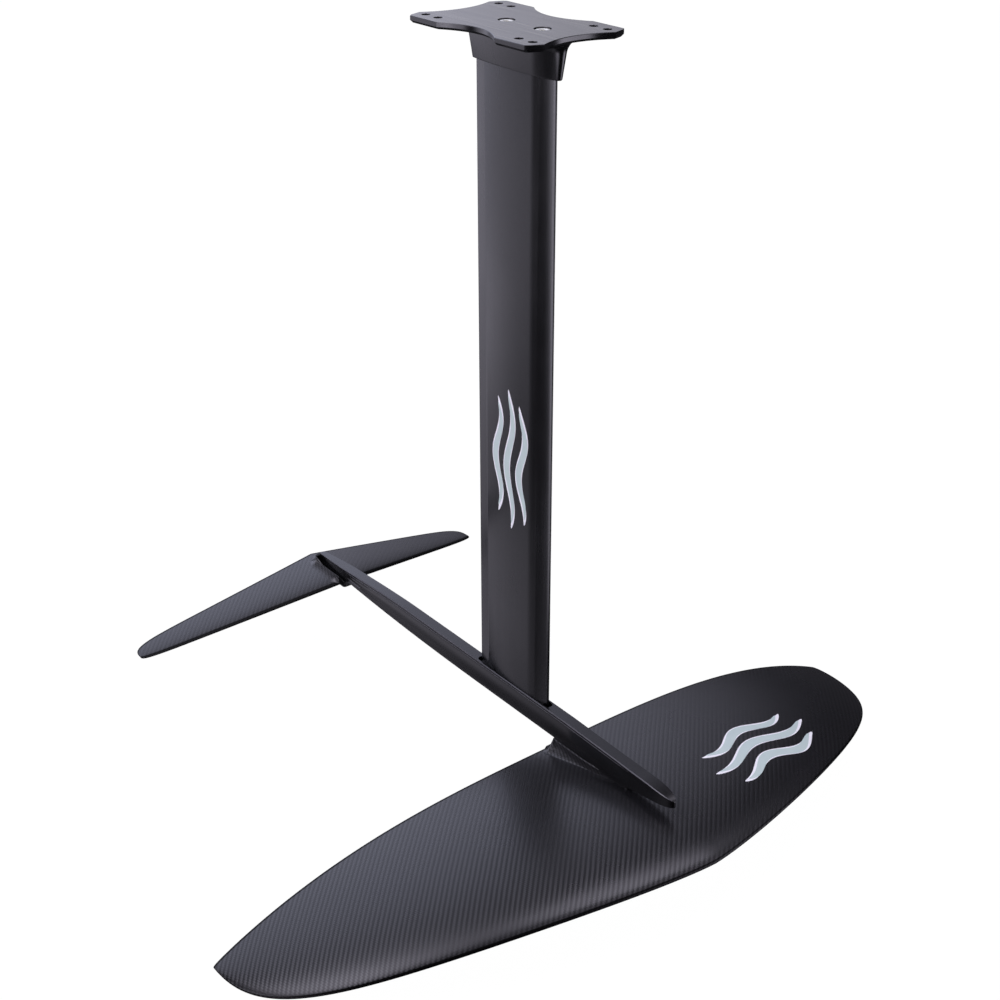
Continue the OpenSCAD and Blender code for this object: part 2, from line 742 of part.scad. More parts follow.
// The cradle that the tail rests in: open at the front, with a thicker wall behind the tail's end
cradle_half = 10.5;
cradle_wall = 1.6;
cradle_front = -347;
cradle_back = -424;
cradle_end_wall = 5;
cradle_corner = 9;
cradle_floor = 9;        // deep enough to reach into the wing everywhere
cradle_chin = 4;         // depth of the cradle where it overhangs the leading edge
lip_h = 1.8;             // how far the lip stands above the tail's seat at the front
lip_back_h = 6.5;        // and behind the tail's end
lip_rise_x = [-400, -416];
module cradle_outline(half, front, back, corner) {
    for (side = [-1, 1])
        translate([back + corner, side * (half - corner)]) circle(corner);
    translate([back, corner - half]) square([corner, 2 * (half - corner)]);
    translate([back + corner, -half]) square([front - back - corner, 2 * half]);
}
module stabilizer_seat() {
    inner_half = cradle_half - cradle_wall;
    inner_back = cradle_back + cradle_end_wall;
    inner_corner = cradle_corner - cradle_wall;
    color(carbon) difference() {
        intersection() {
            translate([0, 0, stab_seat_z - cradle_floor]) linear_extrude(far)
                cradle_outline(cradle_half, cradle_front, cradle_back, cradle_corner);
            rotate([90, 0, 0]) translate([0, 0, -far / 2]) linear_extrude(far) polygon([
                [cradle_front, stab_seat_z - far], [cradle_front, stab_seat_z + lip_h],
                [lip_rise_x[0], stab_seat_z + lip_h], [lip_rise_x[1], stab_seat_z + lip_back_h],
                [cradle_back, stab_seat_z + lip_back_h], [cradle_back, stab_seat_z - far]
            ]);
        }
        translate([0, 0, stab_seat_z]) linear_extrude(far)
            cradle_outline(inner_half, cradle_front + 1, inner_back, inner_corner);
        under_wing(stabilizer);
        translate([stab_le_x, -far / 2, stab_seat_z - far - cradle_chin]) cube([far, far, far]);
        stab_bores();
    }
}

module stabilizer_screw_cups() {
    color(steel) for (x = stab_screw_x)
        translate([x, 0, stab_bottom(x) + stab_cup_sink])
            screw_cup(stab_cup_d, stab_cup_mouth_d, tail_screw_d + tail_screw_play, stab_cup_h);
}
module stabilizer_screws() {
    color(steel) for (x = stab_screw_x) {
        head_z = stab_bottom(x) + stab_cup_sink + stab_head_sink;
        end_z = stab_seat_z + tail_insert_length - 1;
        translate([x, 0, head_z]) mirror([0, 0, 1])
            flat_screw(tail_screw_d, stab_head_d, end_z - head_z, stab_socket_af);
    }
}

top_plate();
plate_screws();
mast();
mast_head_inserts();
mast_foot_inserts();
mast_foot_screws();
fuselage();
fuselage_wing_inserts();
fuselage_tail_inserts();
front_wing_upper_skin();
front_wing_lower_skin();
front_wing_core();
front_wing_root_block();
front_wing_seat();
front_wing_screw_cups();
front_wing_screws();
stabilizer_upper_skin();
stabilizer_lower_skin();
stabilizer_core();
stabilizer_root_block();
stabilizer_seat();
stabilizer_screw_cups();
stabilizer_screws();
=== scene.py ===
"""Looks of a wing-foil hydrofoil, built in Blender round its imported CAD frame.

Lengths are millimetres in the CAD's own axes (+X forward, +Y port, +Z up) until a mesh is made from them.
"""

import math

import bmesh
import bpy
from mathutils import Matrix, Vector


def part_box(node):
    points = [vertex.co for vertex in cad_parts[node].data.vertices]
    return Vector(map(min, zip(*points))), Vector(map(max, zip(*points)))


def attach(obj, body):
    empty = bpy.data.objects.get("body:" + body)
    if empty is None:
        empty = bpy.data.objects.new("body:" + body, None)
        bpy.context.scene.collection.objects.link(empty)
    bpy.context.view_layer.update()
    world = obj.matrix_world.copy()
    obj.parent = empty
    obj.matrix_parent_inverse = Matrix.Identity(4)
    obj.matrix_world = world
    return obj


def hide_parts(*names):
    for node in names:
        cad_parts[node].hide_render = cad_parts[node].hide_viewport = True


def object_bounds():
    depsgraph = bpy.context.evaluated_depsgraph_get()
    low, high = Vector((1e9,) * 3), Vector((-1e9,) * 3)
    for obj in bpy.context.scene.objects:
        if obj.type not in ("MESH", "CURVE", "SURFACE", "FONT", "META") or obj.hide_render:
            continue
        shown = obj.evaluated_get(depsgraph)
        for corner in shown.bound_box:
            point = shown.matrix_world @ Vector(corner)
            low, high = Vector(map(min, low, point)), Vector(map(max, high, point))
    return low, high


MM = 0.001
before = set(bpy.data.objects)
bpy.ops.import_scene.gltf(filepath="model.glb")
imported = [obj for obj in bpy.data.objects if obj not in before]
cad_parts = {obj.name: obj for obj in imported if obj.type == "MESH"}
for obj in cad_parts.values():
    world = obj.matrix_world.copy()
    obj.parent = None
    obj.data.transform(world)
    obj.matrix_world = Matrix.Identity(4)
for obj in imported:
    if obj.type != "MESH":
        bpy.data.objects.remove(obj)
cad_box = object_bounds()


# ---- Places read from the CAD frame -----------------------------------------------------------------------


def box_mm(node):
    """Lowest and highest corner of a CAD node in millimetres."""
    low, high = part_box(node)
    return low / MM, high / MM


plate_low, plate_high = box_mm("top_plate")
plate_head_low, plate_head_high = box_mm("plate_screws")
mast_low, mast_high = box_mm("mast")
fuselage_low, fuselage_high = box_mm("fuselage")
wing_low, wing_high = box_mm("front_wing_upper_skin")
stab_low, stab_high = box_mm("stabilizer_upper_skin")
seat_low, seat_high = box_mm("front_wing_seat")
cradle_low, cradle_high = box_mm("stabilizer_seat")
foot_screw_low, foot_screw_high = box_mm("mast_foot_screws")
wing_screw_low, wing_screw_high = box_mm("front_wing_screws")
stab_screw_low, stab_screw_high = box_mm("stabilizer_screws")
wing_cup_low, wing_cup_high = box_mm("front_wing_screw_cups")
stab_cup_low, stab_cup_high = box_mm("stabilizer_screw_cups")


def spaced(low, high, diameter, count):
    """X places of count equal round parts that fill a box from end to end."""
    first = low.x + diameter / 2
    step = (high.x - low.x - diameter) / (count - 1)
    return [first + i * step for i in range(count)]


PLATE_HEAD_D = 15
FOOT_HEAD_D = 13
WING_HEAD_D = 15.6
STAB_HEAD_D = 11.2
mast_screw_x = spaced(plate_head_low, plate_head_high, PLATE_HEAD_D, 2)
wing_screw_x = spaced(wing_screw_low, wing_screw_high, WING_HEAD_D, 3)
stab_screw_x = spaced(stab_screw_low, stab_screw_high, STAB_HEAD_D, 2)

plate_thickness = 7
mast_chord = mast_high.x - mast_low.x
mast_thickness = mast_high.y - mast_low.y
bar_top = fuselage_high.z
bar_bottom = fuselage_low.z
tail_seat_z = bar_top - 22.5


# ---- Mesh helpers -----------------------------------------------------------------------------------------


def make_object(name, points, faces, materials, sharp_deg=30):
    """A mesh object from points in millimetres, smooth apart from edges sharper than sharp_deg."""
    mesh = bpy.data.meshes.new(name)
    mesh.from_pydata([Vector(p) * MM for p in points], [], faces)
    for material in materials:
        mesh.materials.append(material)
    tidy_mesh(mesh)
    mesh.shade_smooth()
    mesh.set_sharp_from_angle(angle=math.radians(sharp_deg))
    thing = bpy.data.objects.new(name, mesh)
    bpy.context.scene.collection.objects.link(thing)
    return thing


def tidy_mesh(mesh):
    """Joins points that coincide and turns every face outwards."""
    work = bmesh.new()
    work.from_mesh(mesh)
    bmesh.ops.remove_doubles(work, verts=work.verts, dist=1e-6)
    bmesh.ops.dissolve_degenerate(work, edges=work.edges, dist=1e-7)
    bmesh.ops.recalc_face_normals(work, faces=work.faces)
    work.to_mesh(mesh)
    work.free()


def ring_faces(first, second, count):
    """Quads between two closed rings of count points that start at the given indices."""
    return [
        [first + i, first + (i + 1) % count, second + (i + 1) % count, second + i] for i in range(count)
    ]


def loft(rings):
    """Points and faces of a closed solid through rings that have the same number of points."""
    count = len(rings[0])
    points = [p for ring in rings for p in ring]
    faces = []
    for j in range(len(rings) - 1):
        faces += ring_faces(j * count, (j + 1) * count, count)
    faces.append(list(range(count)))
    faces.append([(len(rings) - 1) * count + i for i in range(count)])
    return points, faces


class Builder:
    """Collects the points and faces of one mesh."""

    def __init__(self):
        self.points = []
        self.faces = []

    def ring(self, points):
        first = len(self.points)
        self.points += [tuple(p) for p in points]
        return list(range(first, first + len(points)))

    def band(self, lower, upper):
        count = len(lower)
        for i in range(count):
            k = (i + 1) % count
            self.faces.append([lower[i], lower[k], upper[k], upper[i]])

    def wall(self, rings):
        """Joins a stack of rings of points and returns the first and last ring's indices."""
        made = [self.ring(r) for r in rings]
        for a, b in zip(made, made[1:]):
            self.band(a, b)
        return made[0], made[-1]

    def cap(self, ring):
        self.faces.append(list(ring))

    def sheet(self, outer, holes):
        """Fills the flat area between an outer ring and the rings of its holes."""
        work = bmesh.new()
        known = {}
        for ring in [outer] + holes:
            corners = []
            for index in ring:
                corner = work.verts.new(self.points[index])
                known[corner] = index
                corners.append(corner)
            for i, corner in enumerate(corners):
                work.edges.new((corner, corners[(i + 1) % len(corners)]))
        bmesh.ops.triangle_fill(work, edges=work.edges, use_beauty=True, use_dissolve=False)
        self.faces += [[known[corner] for corner in face.verts] for face in work.faces]
        work.free()

    def build(self, name, materials, sharp_deg=30):
        return make_object(name, self.points, self.faces, materials, sharp_deg)


def circle(x, y, z, radius, count=48):
    """A ring of points round a vertical axis."""
    angles = [2 * math.pi * i / count for i in range(count)]
    return [(x + radius * math.cos(a), y + radius * math.sin(a), z) for a in angles]


def hexagon(x, y, z, across_flats, count=48):
    """A six-sided ring with as many points as a circle, so that the two can be joined."""
    points = []
    for i in range(count):
        a = 2 * math.pi * i / count
        off_flat = a % (math.pi / 3) - math.pi / 6
        r = across_flats / 2 / math.cos(off_flat)
        points.append((x + r * math.cos(a), y + r * math.sin(a), z))
    return points


def cut(thing, cutters):
    """Takes the cutters out of a mesh and deletes them."""
    for cutter in cutters:
        modifier = thing.modifiers.new("cut", "BOOLEAN")
        modifier.operation = "DIFFERENCE"
        modifier.solver = "EXACT"
        modifier.object = cutter
    bpy.context.view_layer.update()
    result = bpy.data.meshes.new_from_object(thing.evaluated_get(bpy.context.evaluated_depsgraph_get()))
    thing.modifiers.clear()
    old = thing.data
    thing.data = result
    result.name = old.name
    bpy.data.meshes.remove(old)
    for cutter in cutters:
        spent = cutter.data
        bpy.data.objects.remove(cutter)
        bpy.data.meshes.remove(spent)
    return thing


def round_cutter(x, y, low, high, diameter):
    points, faces = loft([circle(x, y, low, diameter / 2), circle(x, y, high, diameter / 2)])
    return make_object("cutter", points, faces, [])


def finish_piece(thing, slot, *nodes):
    """Puts a piece on the CAD body, in place of the CAD nodes that it stands for."""
    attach(thing, "root")
    if nodes:
        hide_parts(*nodes)
    return thing


# ---- Materials --------------------------------------------------------------------------------------------


class Nodes:
    """A short way to write a material's node tree."""

    def __init__(self, name):
        self.material = bpy.data.materials.new(name)
        self.material.use_nodes = True
        self.tree = self.material.node_tree
        self.shader = self.tree.nodes["Principled BSDF"]

    def new(self, kind, inputs=None, **settings):
        node = self.tree.nodes.new(kind)
        for key, value in settings.items():
            setattr(node, key, value)
        for key, value in (inputs or {}).items():
            self.put(node.inputs[key], value)
        return node

    def put(self, socket, value):
        if isinstance(value, bpy.types.NodeSocket):
            self.tree.links.new(value, socket)
        else:
            socket.default_value = value

    def surface(self, **inputs):
        for key, value in inputs.items():
            self.put(self.shader.inputs[key.replace("_", " ")], value)

    def maths(self, operation, a, b=0.0, c=0.0):
        node = self.new("ShaderNodeMath", operation=operation)
        for socket, value in zip(node.inputs, (a, b, c)):
            self.put(socket, value)
        return node.outputs[0]

    def vector_maths(self, operation, a, b):
        node = self.new("ShaderNodeVectorMath", operation=operation)
        self.put(node.inputs[0], a)
        self.put(node.inputs[1], b)
        return node.outputs[0]

    def place(self):
        """The point on the object, in metres."""
        return self.new("ShaderNodeTexCoord").outputs["Object"]

    def stretched(self, place, scale):
        return self.vector_maths("MULTIPLY", place, scale)

    def noise(self, place, scale, detail=3.0, roughness=0.5):
        inputs = {"Vector": place, "Scale": scale, "Detail": detail, "Roughness": roughness}
        return self.new("ShaderNodeTexNoise", inputs).outputs["Fac"]

    def span(self, value, low, high, to_low, to_high):
        """Maps value from low..high to to_low..to_high, held at the ends."""
        inputs = {"Value": value, "From Min": low, "From Max": high, "To Min": to_low, "To Max": to_high}
        return self.new("ShaderNodeMapRange", inputs).outputs["Result"]

    def mix(self, share, a, b):
        """Mixes two colours."""
        node = self.new("ShaderNodeMix", data_type="RGBA")
        self.put(node.inputs["Factor"], share)
        self.put(node.inputs["A"], a)
        self.put(node.inputs["B"], b)
        return node.outputs["Result"]

    def bump(self, height, distance, strength=1.0):
        inputs = {"Height": height, "Distance": distance, "Strength": strength}
        return self.new("ShaderNodeBump", inputs).outputs["Normal"]


def grey(value, blue=1.0):
    return (value, value, value * blue, 1.0)


def anodised_aluminium(name, tone, gloss, grain_axis, lit_top_tone=None):
    """Black anodised aluminium: a fine blasted grain, streaks along the extrusion and rubbed spots.

    Faces that look straight up can have a lighter tone of their own: painted light, as if the top were lit
    from above, with the extrusion streaks running through it.
    """
    n = Nodes(name)
    place = n.place()
    long_way = {"X": (3.0, 90.0, 90.0), "Z": (90.0, 90.0, 3.0)}[grain_axis]
    streaks = n.noise(n.stretched(place, long_way), 2.2, 4.0)
    cloud = n.noise(place, 9.0, 4.0, 0.6)
    grain = n.noise(place, 1500.0, 2.0, 0.6)
    shade = n.span(streaks, 0.3, 0.7, 0.0, 1.0)
    colour = n.mix(shade, grey(tone * 0.8, 1.1), grey(tone * 1.2, 1.14))
    worn = n.span(n.maths("ADD", streaks, cloud), 1.08, 1.5, 0.0, 0.35)
    colour = n.mix(worn, colour, grey(tone * 1.8, 1.1))
    # Painted light: faces that look straight up get a lighter tone, as if lit from above; its streaks are the
    # grain.
    if lit_top_tone:
        normal = n.new("ShaderNodeNewGeometry").outputs["Normal"]
        upward = n.span(n.new("ShaderNodeSeparateXYZ", {"Vector": normal}).outputs["Z"], 0.9, 0.99, 0.0, 1.0)
        painted_top_light = n.mix(shade, grey(lit_top_tone * 0.7, 0.86), grey(lit_top_tone * 1.2, 0.86))
        colour = n.mix(upward, colour, painted_top_light)
    speckle = n.span(grain, 0.3, 0.7, 0.4, 0.6)
    relief = n.maths("ADD", grain, n.maths("MULTIPLY", streaks, 3.0))
    n.surface(
        Base_Color=colour,
        Roughness=n.maths("ADD", n.span(cloud, 0.3, 0.7, gloss - 0.03, gloss + 0.03), n.span(streaks, 0.2, 0.8, -0.02, 0.02)),
        IOR=1.55,
        Specular_IOR_Level=speckle,
        Normal=n.bump(relief, 0.00001, 0.4),
    )
    return n.material


def carbon_twill(name, tow, tone, gloss, play):
    """Clear-coated 2/2 carbon twill. UV coordinates are metres along and across the surface.

    play says how strongly tows of the two directions differ in the light.
    """
    n = Nodes(name)
    uv = n.new("ShaderNodeUVMap", uv_map="weave").outputs["UV"]
    sway = n.noise(n.place(), 14.0, 2.0)
    split = n.new("ShaderNodeSeparateXYZ", {"Vector": n.stretched(uv, (1 / tow, 1 / tow, 1.0))})
    along = n.maths("ADD", split.outputs["X"], n.span(sway, 0.3, 0.7, -0.25, 0.25))
    across = split.outputs["Y"]
    cell = n.maths("ADD", n.maths("FLOOR", along), n.maths("FLOOR", across))
    phase = n.maths("FLOORED_MODULO", cell, 4.0)
    lengthwise = n.maths("LESS_THAN", phase, 1.5)
    warp_side = n.maths("ABSOLUTE", n.maths("SUBTRACT", n.maths("FRACT", across), 0.5))
    weft_side = n.maths("ABSOLUTE", n.maths("SUBTRACT", n.maths("FRACT", along), 0.5))
    side = n.new("ShaderNodeMix", data_type="FLOAT")
    n.put(side.inputs["Factor"], lengthwise)
    n.put(side.inputs["A"], weft_side)
    n.put(side.inputs["B"], warp_side)
    crown = n.maths("SUBTRACT", 1.0, n.maths("MULTIPLY", n.maths("POWER", side.outputs["Result"], 2.0), 4.0))
    fibre_place = n.new("ShaderNodeMix", data_type="VECTOR")
    n.put(fibre_place.inputs["Factor"], lengthwise)
    n.put(fibre_place.inputs["A"], n.stretched(uv, (6000.0, 300.0, 1.0)))
    n.put(fibre_place.inputs["B"], n.stretched(uv, (300.0, 6000.0, 1.0)))
    fibres = n.noise(fibre_place.outputs["Result"], 1.0, 2.0)
    over_long = n.maths("ADD", along, n.maths("FLOOR", across))
    over_cross = n.maths("ADD", n.maths("ADD", across, n.maths("FLOOR", along)), 2.0)
    arch = n.new("ShaderNodeMix", data_type="FLOAT")
    n.put(arch.inputs["Factor"], lengthwise)
    n.put(arch.inputs["A"], n.maths("FLOORED_MODULO", over_cross, 4.0))
    n.put(arch.inputs["B"], n.maths("FLOORED_MODULO", over_long, 4.0))
    arch = n.maths("SINE", n.maths("MULTIPLY", arch.outputs["Result"], math.pi / 2))
    relief = n.maths("ADD", n.maths("MULTIPLY", crown, 0.5), arch)
    relief = n.maths("ADD", relief, n.maths("MULTIPLY", fibres, 0.15))
    cloud = n.noise(n.place(), 6.0, 3.0, 0.55)
    dark = grey(tone * (1 - 0.35 * play), 1.06)
    light = grey(tone * (1 + 0.35 * play), 1.1)
    colour = n.mix(lengthwise, dark, light)
    sheen = n.maths("MULTIPLY", n.span(lengthwise, 0.0, 1.0, 0.5 - 0.13 * play, 0.5 + 0.13 * play), n.span(crown, 0.0, 1.0, 0.85, 1.08))
    colour = n.mix(n.span(fibres, 0.35, 0.65, 0.0, 0.35), colour, grey(tone * 1.5, 1.1))
    # Painted shade: where the rim attribute is high, the cloth gets a darker colour and a weaker reflection.
    rim = n.new("ShaderNodeAttribute", attribute_name="rim").outputs["Fac"]
    clear_of_painted_shade = n.span(rim, 0.15, 0.4, 1.0, 0.0)
    colour = n.mix(clear_of_painted_shade, grey(tone * 0.3), colour)
    sheen = n.maths("MULTIPLY", sheen, n.span(clear_of_painted_shade, 0.0, 1.0, 0.15, 1.0))
    direction = n.new("ShaderNodeMix", data_type="VECTOR")
    n.put(direction.inputs["Factor"], lengthwise)
    n.put(direction.inputs["A"], (0.0, 1.0, 0.0))
    n.put(direction.inputs["B"], (1.0, 0.0, 0.0))
    n.surface(
        Base_Color=colour,
        Roughness=n.span(cloud, 0.3, 0.7, gloss - 0.03, gloss + 0.03),
        IOR=1.5,
        Specular_IOR_Level=sheen,
        Anisotropic=0.8 * play,
        Tangent=direction.outputs["Result"],
        Normal=n.bump(relief, 0.00004, 0.7),
    )
    return n.material


def stainless_steel(name):
    """Turned stainless steel with fine rings and a few handling marks."""
    n = Nodes(name)
    place = n.place()
    rings = n.noise(n.stretched(place, (900.0, 900.0, 5000.0)), 1.0, 2.0)
    cloud = n.noise(place, 120.0, 3.0)
    n.surface(
        Base_Color=n.mix(cloud, grey(0.76, 0.92), grey(0.92, 0.92)),
        Metallic=1.0,
        Roughness=n.span(n.maths("ADD", rings, cloud), 0.7, 1.3, 0.38, 0.52),
        Normal=n.bump(rings, 0.00002, 0.4),
    )
    return n.material


def foam_core(name):
    """Closed-cell foam, with its cells as dimples."""
    n = Nodes(name)
    cells = n.new("ShaderNodeTexVoronoi", {"Vector": n.place(), "Scale": 900.0}).outputs["Distance"]
    n.surface(
        Base_Color=n.mix(cells, (0.86, 0.8, 0.62, 1.0), (0.66, 0.6, 0.44, 1.0)),
        Roughness=0.85,
        Normal=n.bump(cells, 0.0003, 0.7),
    )
    return n.material


def glass_laminate(name):
    """Solid glass laminate, with its layers as faint lines."""
    n = Nodes(name)
    layers = n.new(
        "ShaderNodeTexWave",
        {"Vector": n.place(), "Scale": 700.0, "Distortion": 1.5},
        bands_direction="Z",
    ).outputs["Fac"]
    n.surface(
        Base_Color=n.mix(layers, (0.2, 0.24, 0.18, 1.0), (0.34, 0.38, 0.3, 1.0)),
        Roughness=n.span(layers, 0.0, 1.0, 0.35, 0.55),
    )
    return n.material


def print_film(name, colour):
    """Screen-printed ink, slightly uneven."""
    n = Nodes(name)
    cloud = n.noise(n.place(), 220.0, 4.0)
    thin = [part * 0.94 for part in colour] + [1.0]
    n.surface(
        Base_Color=n.mix(cloud, thin, (*colour, 1.0)),
        Roughness=n.span(cloud, 0.3, 0.7, 0.42, 0.55),
        Normal=n.bump(cloud, 0.00002, 0.3),
    )
    return n.material


# The plate's top tone, 0.15, is painted light from above.
plate_metal = anodised_aluminium("plate_aluminium", 0.005, 0.2, "X", 0.15)
mast_metal = anodised_aluminium("mast_aluminium", 0.003, 0.25, "Z")
bar_metal = anodised_aluminium("fuselage_aluminium", 0.002, 0.24, "X")
# A lighter aluminium for the bar's top chamfers: a painted highlight along those edges.
chamfer_highlight_metal = anodised_aluminium("painted_highlight_chamfer_aluminium", 0.045, 0.3, "X")
wing_carbon = carbon_twill("wing_carbon_twill", 0.0018, 0.008, 0.27, 0.85)
stab_carbon = carbon_twill("stabilizer_carbon_twill", 0.002, 0.01, 0.27, 0.5)
steel = stainless_steel("stainless_steel")
foam = foam_core("foam_core")
laminate = glass_laminate("glass_laminate")
ink_edge = print_film("print_white", (0.86, 0.86, 0.86))
ink_fill = print_film("print_pale", (0.5, 0.6, 0.56))


# ---- Sections ---------------------------------------------------------------------------------------------


def rounded(e, p, q):
    """A superellipse's fall from 1 at e = 0 to 0 at e = 1."""
    return max(1 - e**p, 0) ** (1 / q)


def half_section(u, thickness):
    """Half thickness of a streamlined section at u, 0 at the nose and 1 at the tail, for chord 1."""
    shape = 0.2969 * math.sqrt(u) - 0.126 * u - 0.3516 * u**2 + 0.2843 * u**3 - 0.1036 * u**4
    return 5 * thickness * shape


EDGE_HALF = 0.4  # half of a wing's trailing-edge thickness
# Width in millimetres of the painted shade along a wing's trailing edge.
REAR_RIM = 4.0


class Wing:
    """A wing's surfaces. Its station function gives leading edge x, chord, z and core share at h, 0 to 1."""

    def __init__(self, station, half_span, thickness, camber, incidence, skin, front_rim):
        self.station_at = station
        self.half_span = half_span
        self.thickness = thickness
        self.camber = camber
        self.incidence = incidence
        self.skin = skin
        self.front_rim = front_rim
        self.arc = self.arc_table(240)
        self.span_arc = self.span_table(240)

    def station(self, y):
        return self.station_at(min(1.0, abs(y) / self.half_span))

    def line(self, u, chord):
        return 4 * self.camber * u * (1 - u) * chord - self.incidence * (u - 0.5) * chord

    def outer_half(self, u, chord):
        return half_section(u, self.thickness) * chord + EDGE_HALF * u * min(1, chord / 40)

    def inner_half(self, u, chord, core):
        """The skin's inner face: parallel to the outer one, and closed at the core's front and rear edges."""
        front, back = 0.038, 0.916
        crown = self.thickness * chord / 2
        edge = min(1, (u - front) / 0.06, (back - u) / 0.12)
        if edge <= 0 or core <= 0.02:
            return 0.0
        return self.outer_half(u, chord) * max(0, 1 - self.skin / crown) * core * math.sqrt(edge)

    def point(self, angle, y, inner=False):
        """A point at angle round the section, 0 at the nose, pi at the tail, negative on the lower side."""
        x_le, chord, z, core = self.station(y)
        u = (1 - math.cos(angle)) / 2
        half = self.inner_half(u, chord, core) if inner else self.outer_half(u, chord)
        return Vector((x_le - u * chord, y, z + self.line(u, chord) + math.copysign(half, angle)))

    def angle_of(self, x, y):
        x_le, chord, z, core = self.station(y)
        u = min(1.0, max(0.0, (x_le - x) / chord))
        return math.acos(1 - 2 * u)

    def surface(self, x, y, side=1):
        """Height of the upper (side 1) or lower (side -1) surface."""
        return self.point(side * max(self.angle_of(x, y), 1e-6), y).z

    def normal(self, x, y, side):
        """Outward normal of the surface above or below (x, y)."""
        step = 0.01
        reach = self.half_span * 0.9995
        angle = side * self.angle_of(x, y)
        y = max(-reach, min(reach, y))
        near, far = max(-math.pi, angle - step), min(math.pi, angle + step)
        along = self.point(far, y) - self.point(near, y)
        across = self.point(angle, min(reach, y + 0.5)) - self.point(angle, max(-reach, y - 0.5))
        return across.cross(along).normalized()

    def painted_shade_at(self, x, y):
        """1 on the outline, falling to 0 a rim's width inside it: painted shade along the leading and trailing
        edges.
        """
        x_le, chord, z, core = self.station(y)
        return max(0.0, 1 - (x_le - x) / self.front_rim, 1 - (x - x_le + chord) / REAR_RIM)

    def arc_table(self, steps):
        """Arc length of a chord-1 section, measured from the tail to each of evenly spaced angles."""
        def place(i):
            u = (1 - math.cos(math.pi * i / steps)) / 2
            return Vector((u, self.line(u, 1) + half_section(u, self.thickness)))
        arc = [0.0] * (steps + 1)
        for i in range(steps - 1, -1, -1):
            arc[i] = arc[i + 1] + (place(i) - place(i + 1)).length
        return arc

    def span_table(self, steps):
        """Arc length along the span, from the root to each of evenly spaced places."""
        arc = [0.0]
        for i in range(steps):
            rise = self.station_at((i + 1) / steps)[2] - self.station_at(i / steps)[2]
            arc.append(arc[-1] + math.hypot(rise, self.half_span / steps))
        return arc

    def weave_place(self, x, y):
        """Metres along and across the cloth that covers the wing at (x, y)."""
        x_le, chord, z, core = self.station(y)
        along = x_le - chord + chord * sample(self.arc, self.angle_of(x, y) / math.pi)
        across = math.copysign(sample(self.span_arc, min(1.0, abs(y) / self.half_span)), y)
        return along * MM, across * MM


def sample(table, share):
    """Linear interpolation in an evenly spaced table."""
    place = min(share, 0.999999) * (len(table) - 1)
    low = int(place)
    return table[low] + (table[low + 1] - table[low]) * (place - low)


def core_share(h, reach):
    return rounded(min(h / reach, 1), 6, 2)


WING_TE_BOW = 6.4
wing_te_x = wing_low.x
wing_chord = wing_high.x - wing_low.x
wing_root_z = bar_bottom - 20
WING_DROP = 76


def front_station(h):
    x_le = wing_te_x + WING_TE_BOW + (wing_chord - WING_TE_BOW) * rounded(h, 1.39, 2.39)
    x_te = wing_te_x + WING_TE_BOW * (1 - rounded(h, 6, 5.86))
    return x_le, max(x_le - x_te, 0.4), wing_root_z - WING_DROP * h**3, core_share(h, 0.93)


STAB_CHORD = 91
STAB_DROP = 59
STAB_SWEEP = 78
stab_le_x = stab_high.x
stab_te_x = stab_le_x - STAB_CHORD
stab_root_z = tail_seat_z - 5.7


def stab_station(h):
    full = STAB_CHORD * (1 - 0.6 * h)
    chord = max(full * rounded(h, 14, 3.3), 0.4)
    x_le = stab_le_x - STAB_SWEEP * h**1.13 - 0.24 * (full - chord)
    return x_le, chord, stab_root_z - STAB_DROP * h**1.11, core_share(h, 0.9)


front_wing = Wing(front_station, wing_high.y, 0.098, 0.02, 0.022, 1.6, 2.2)
stabilizer = Wing(stab_station, stab_high.y, 0.09, 0.0, -0.016, 1.1, 7.0)


# ---- Wing shells ------------------------------------------------------------------------------------------


def wing_skin(name, wing, side, material, chord_steps, span_steps, cutters):
    """One moulded skin: its outer surface, its inner surface against the core, and the cuts for screws."""
    angles = [side * math.pi * i / chord_steps for i in range(chord_steps + 1)]
    angles[0] = side * 1e-6
    rings = []
    for j in range(-span_steps, span_steps + 1):
        y = wing.half_span * math.sin(math.pi / 2 * j / span_steps)
        outer = [wing.point(a, y) for a in angles]
        inner = [wing.point(a, y, inner=True) for a in angles[-2:0:-1]]
        rings.append(outer + inner)
    skin = make_object(name, *loft(rings), [material])
    if cutters:
        cut(skin, cutters)
    dress_skin(skin.data, wing, side)
    return skin


def dress_skin(mesh, wing, side):
    """Gives the outer faces the surface's true normals, and every face its place on the cloth and its rim of
    painted shade.
    """
    tolerance = 0.05
    weave = mesh.uv_layers.new(name="weave")
    rim = mesh.attributes.new("rim", "FLOAT", "POINT")
    places = {}
    for vertex in mesh.vertices:
        x, y, z = vertex.co / MM
        outer = abs(wing.surface(x, y, side) - z) < tolerance
        places[vertex.index] = (x, y, outer, wing.weave_place(x, y))
        rim.data[vertex.index].value = wing.painted_shade_at(x, y)
    normals = [(0.0, 0.0, 0.0)] * len(mesh.loops)
    for face in mesh.polygons:
        on_surface = all(places[i][2] for i in face.vertices)
        if not on_surface:
            face.use_smooth = False
        for loop_index in face.loop_indices:
            x, y, outer, cloth = places[mesh.loops[loop_index].vertex_index]
            weave.data[loop_index].uv = cloth
            if on_surface:
                normals[loop_index] = wing.normal(x, y, side)
    mesh.normals_split_custom_set(normals)


def build_front_wing():
    bores = [round_cutter(x, 0, bar_bottom - 40, bar_bottom + 5, 8.5) for x in wing_screw_x]
    upper = wing_skin("front_wing_upper", front_wing, 1, wing_carbon, 56, 72, bores)
    finish_piece(upper, "carbon_twill", "front_wing_upper_skin")
    cups = []
    for x in wing_screw_x:
        mouth = front_wing.surface(x, 0, -1)
        cups.append(round_cutter(x, 0, mouth - 20, mouth + 6.6, 19))
    lower = wing_skin("front_wing_lower", front_wing, -1, wing_carbon, 56, 72, cups)
    finish_piece(lower, "carbon_twill", "front_wing_lower_skin")


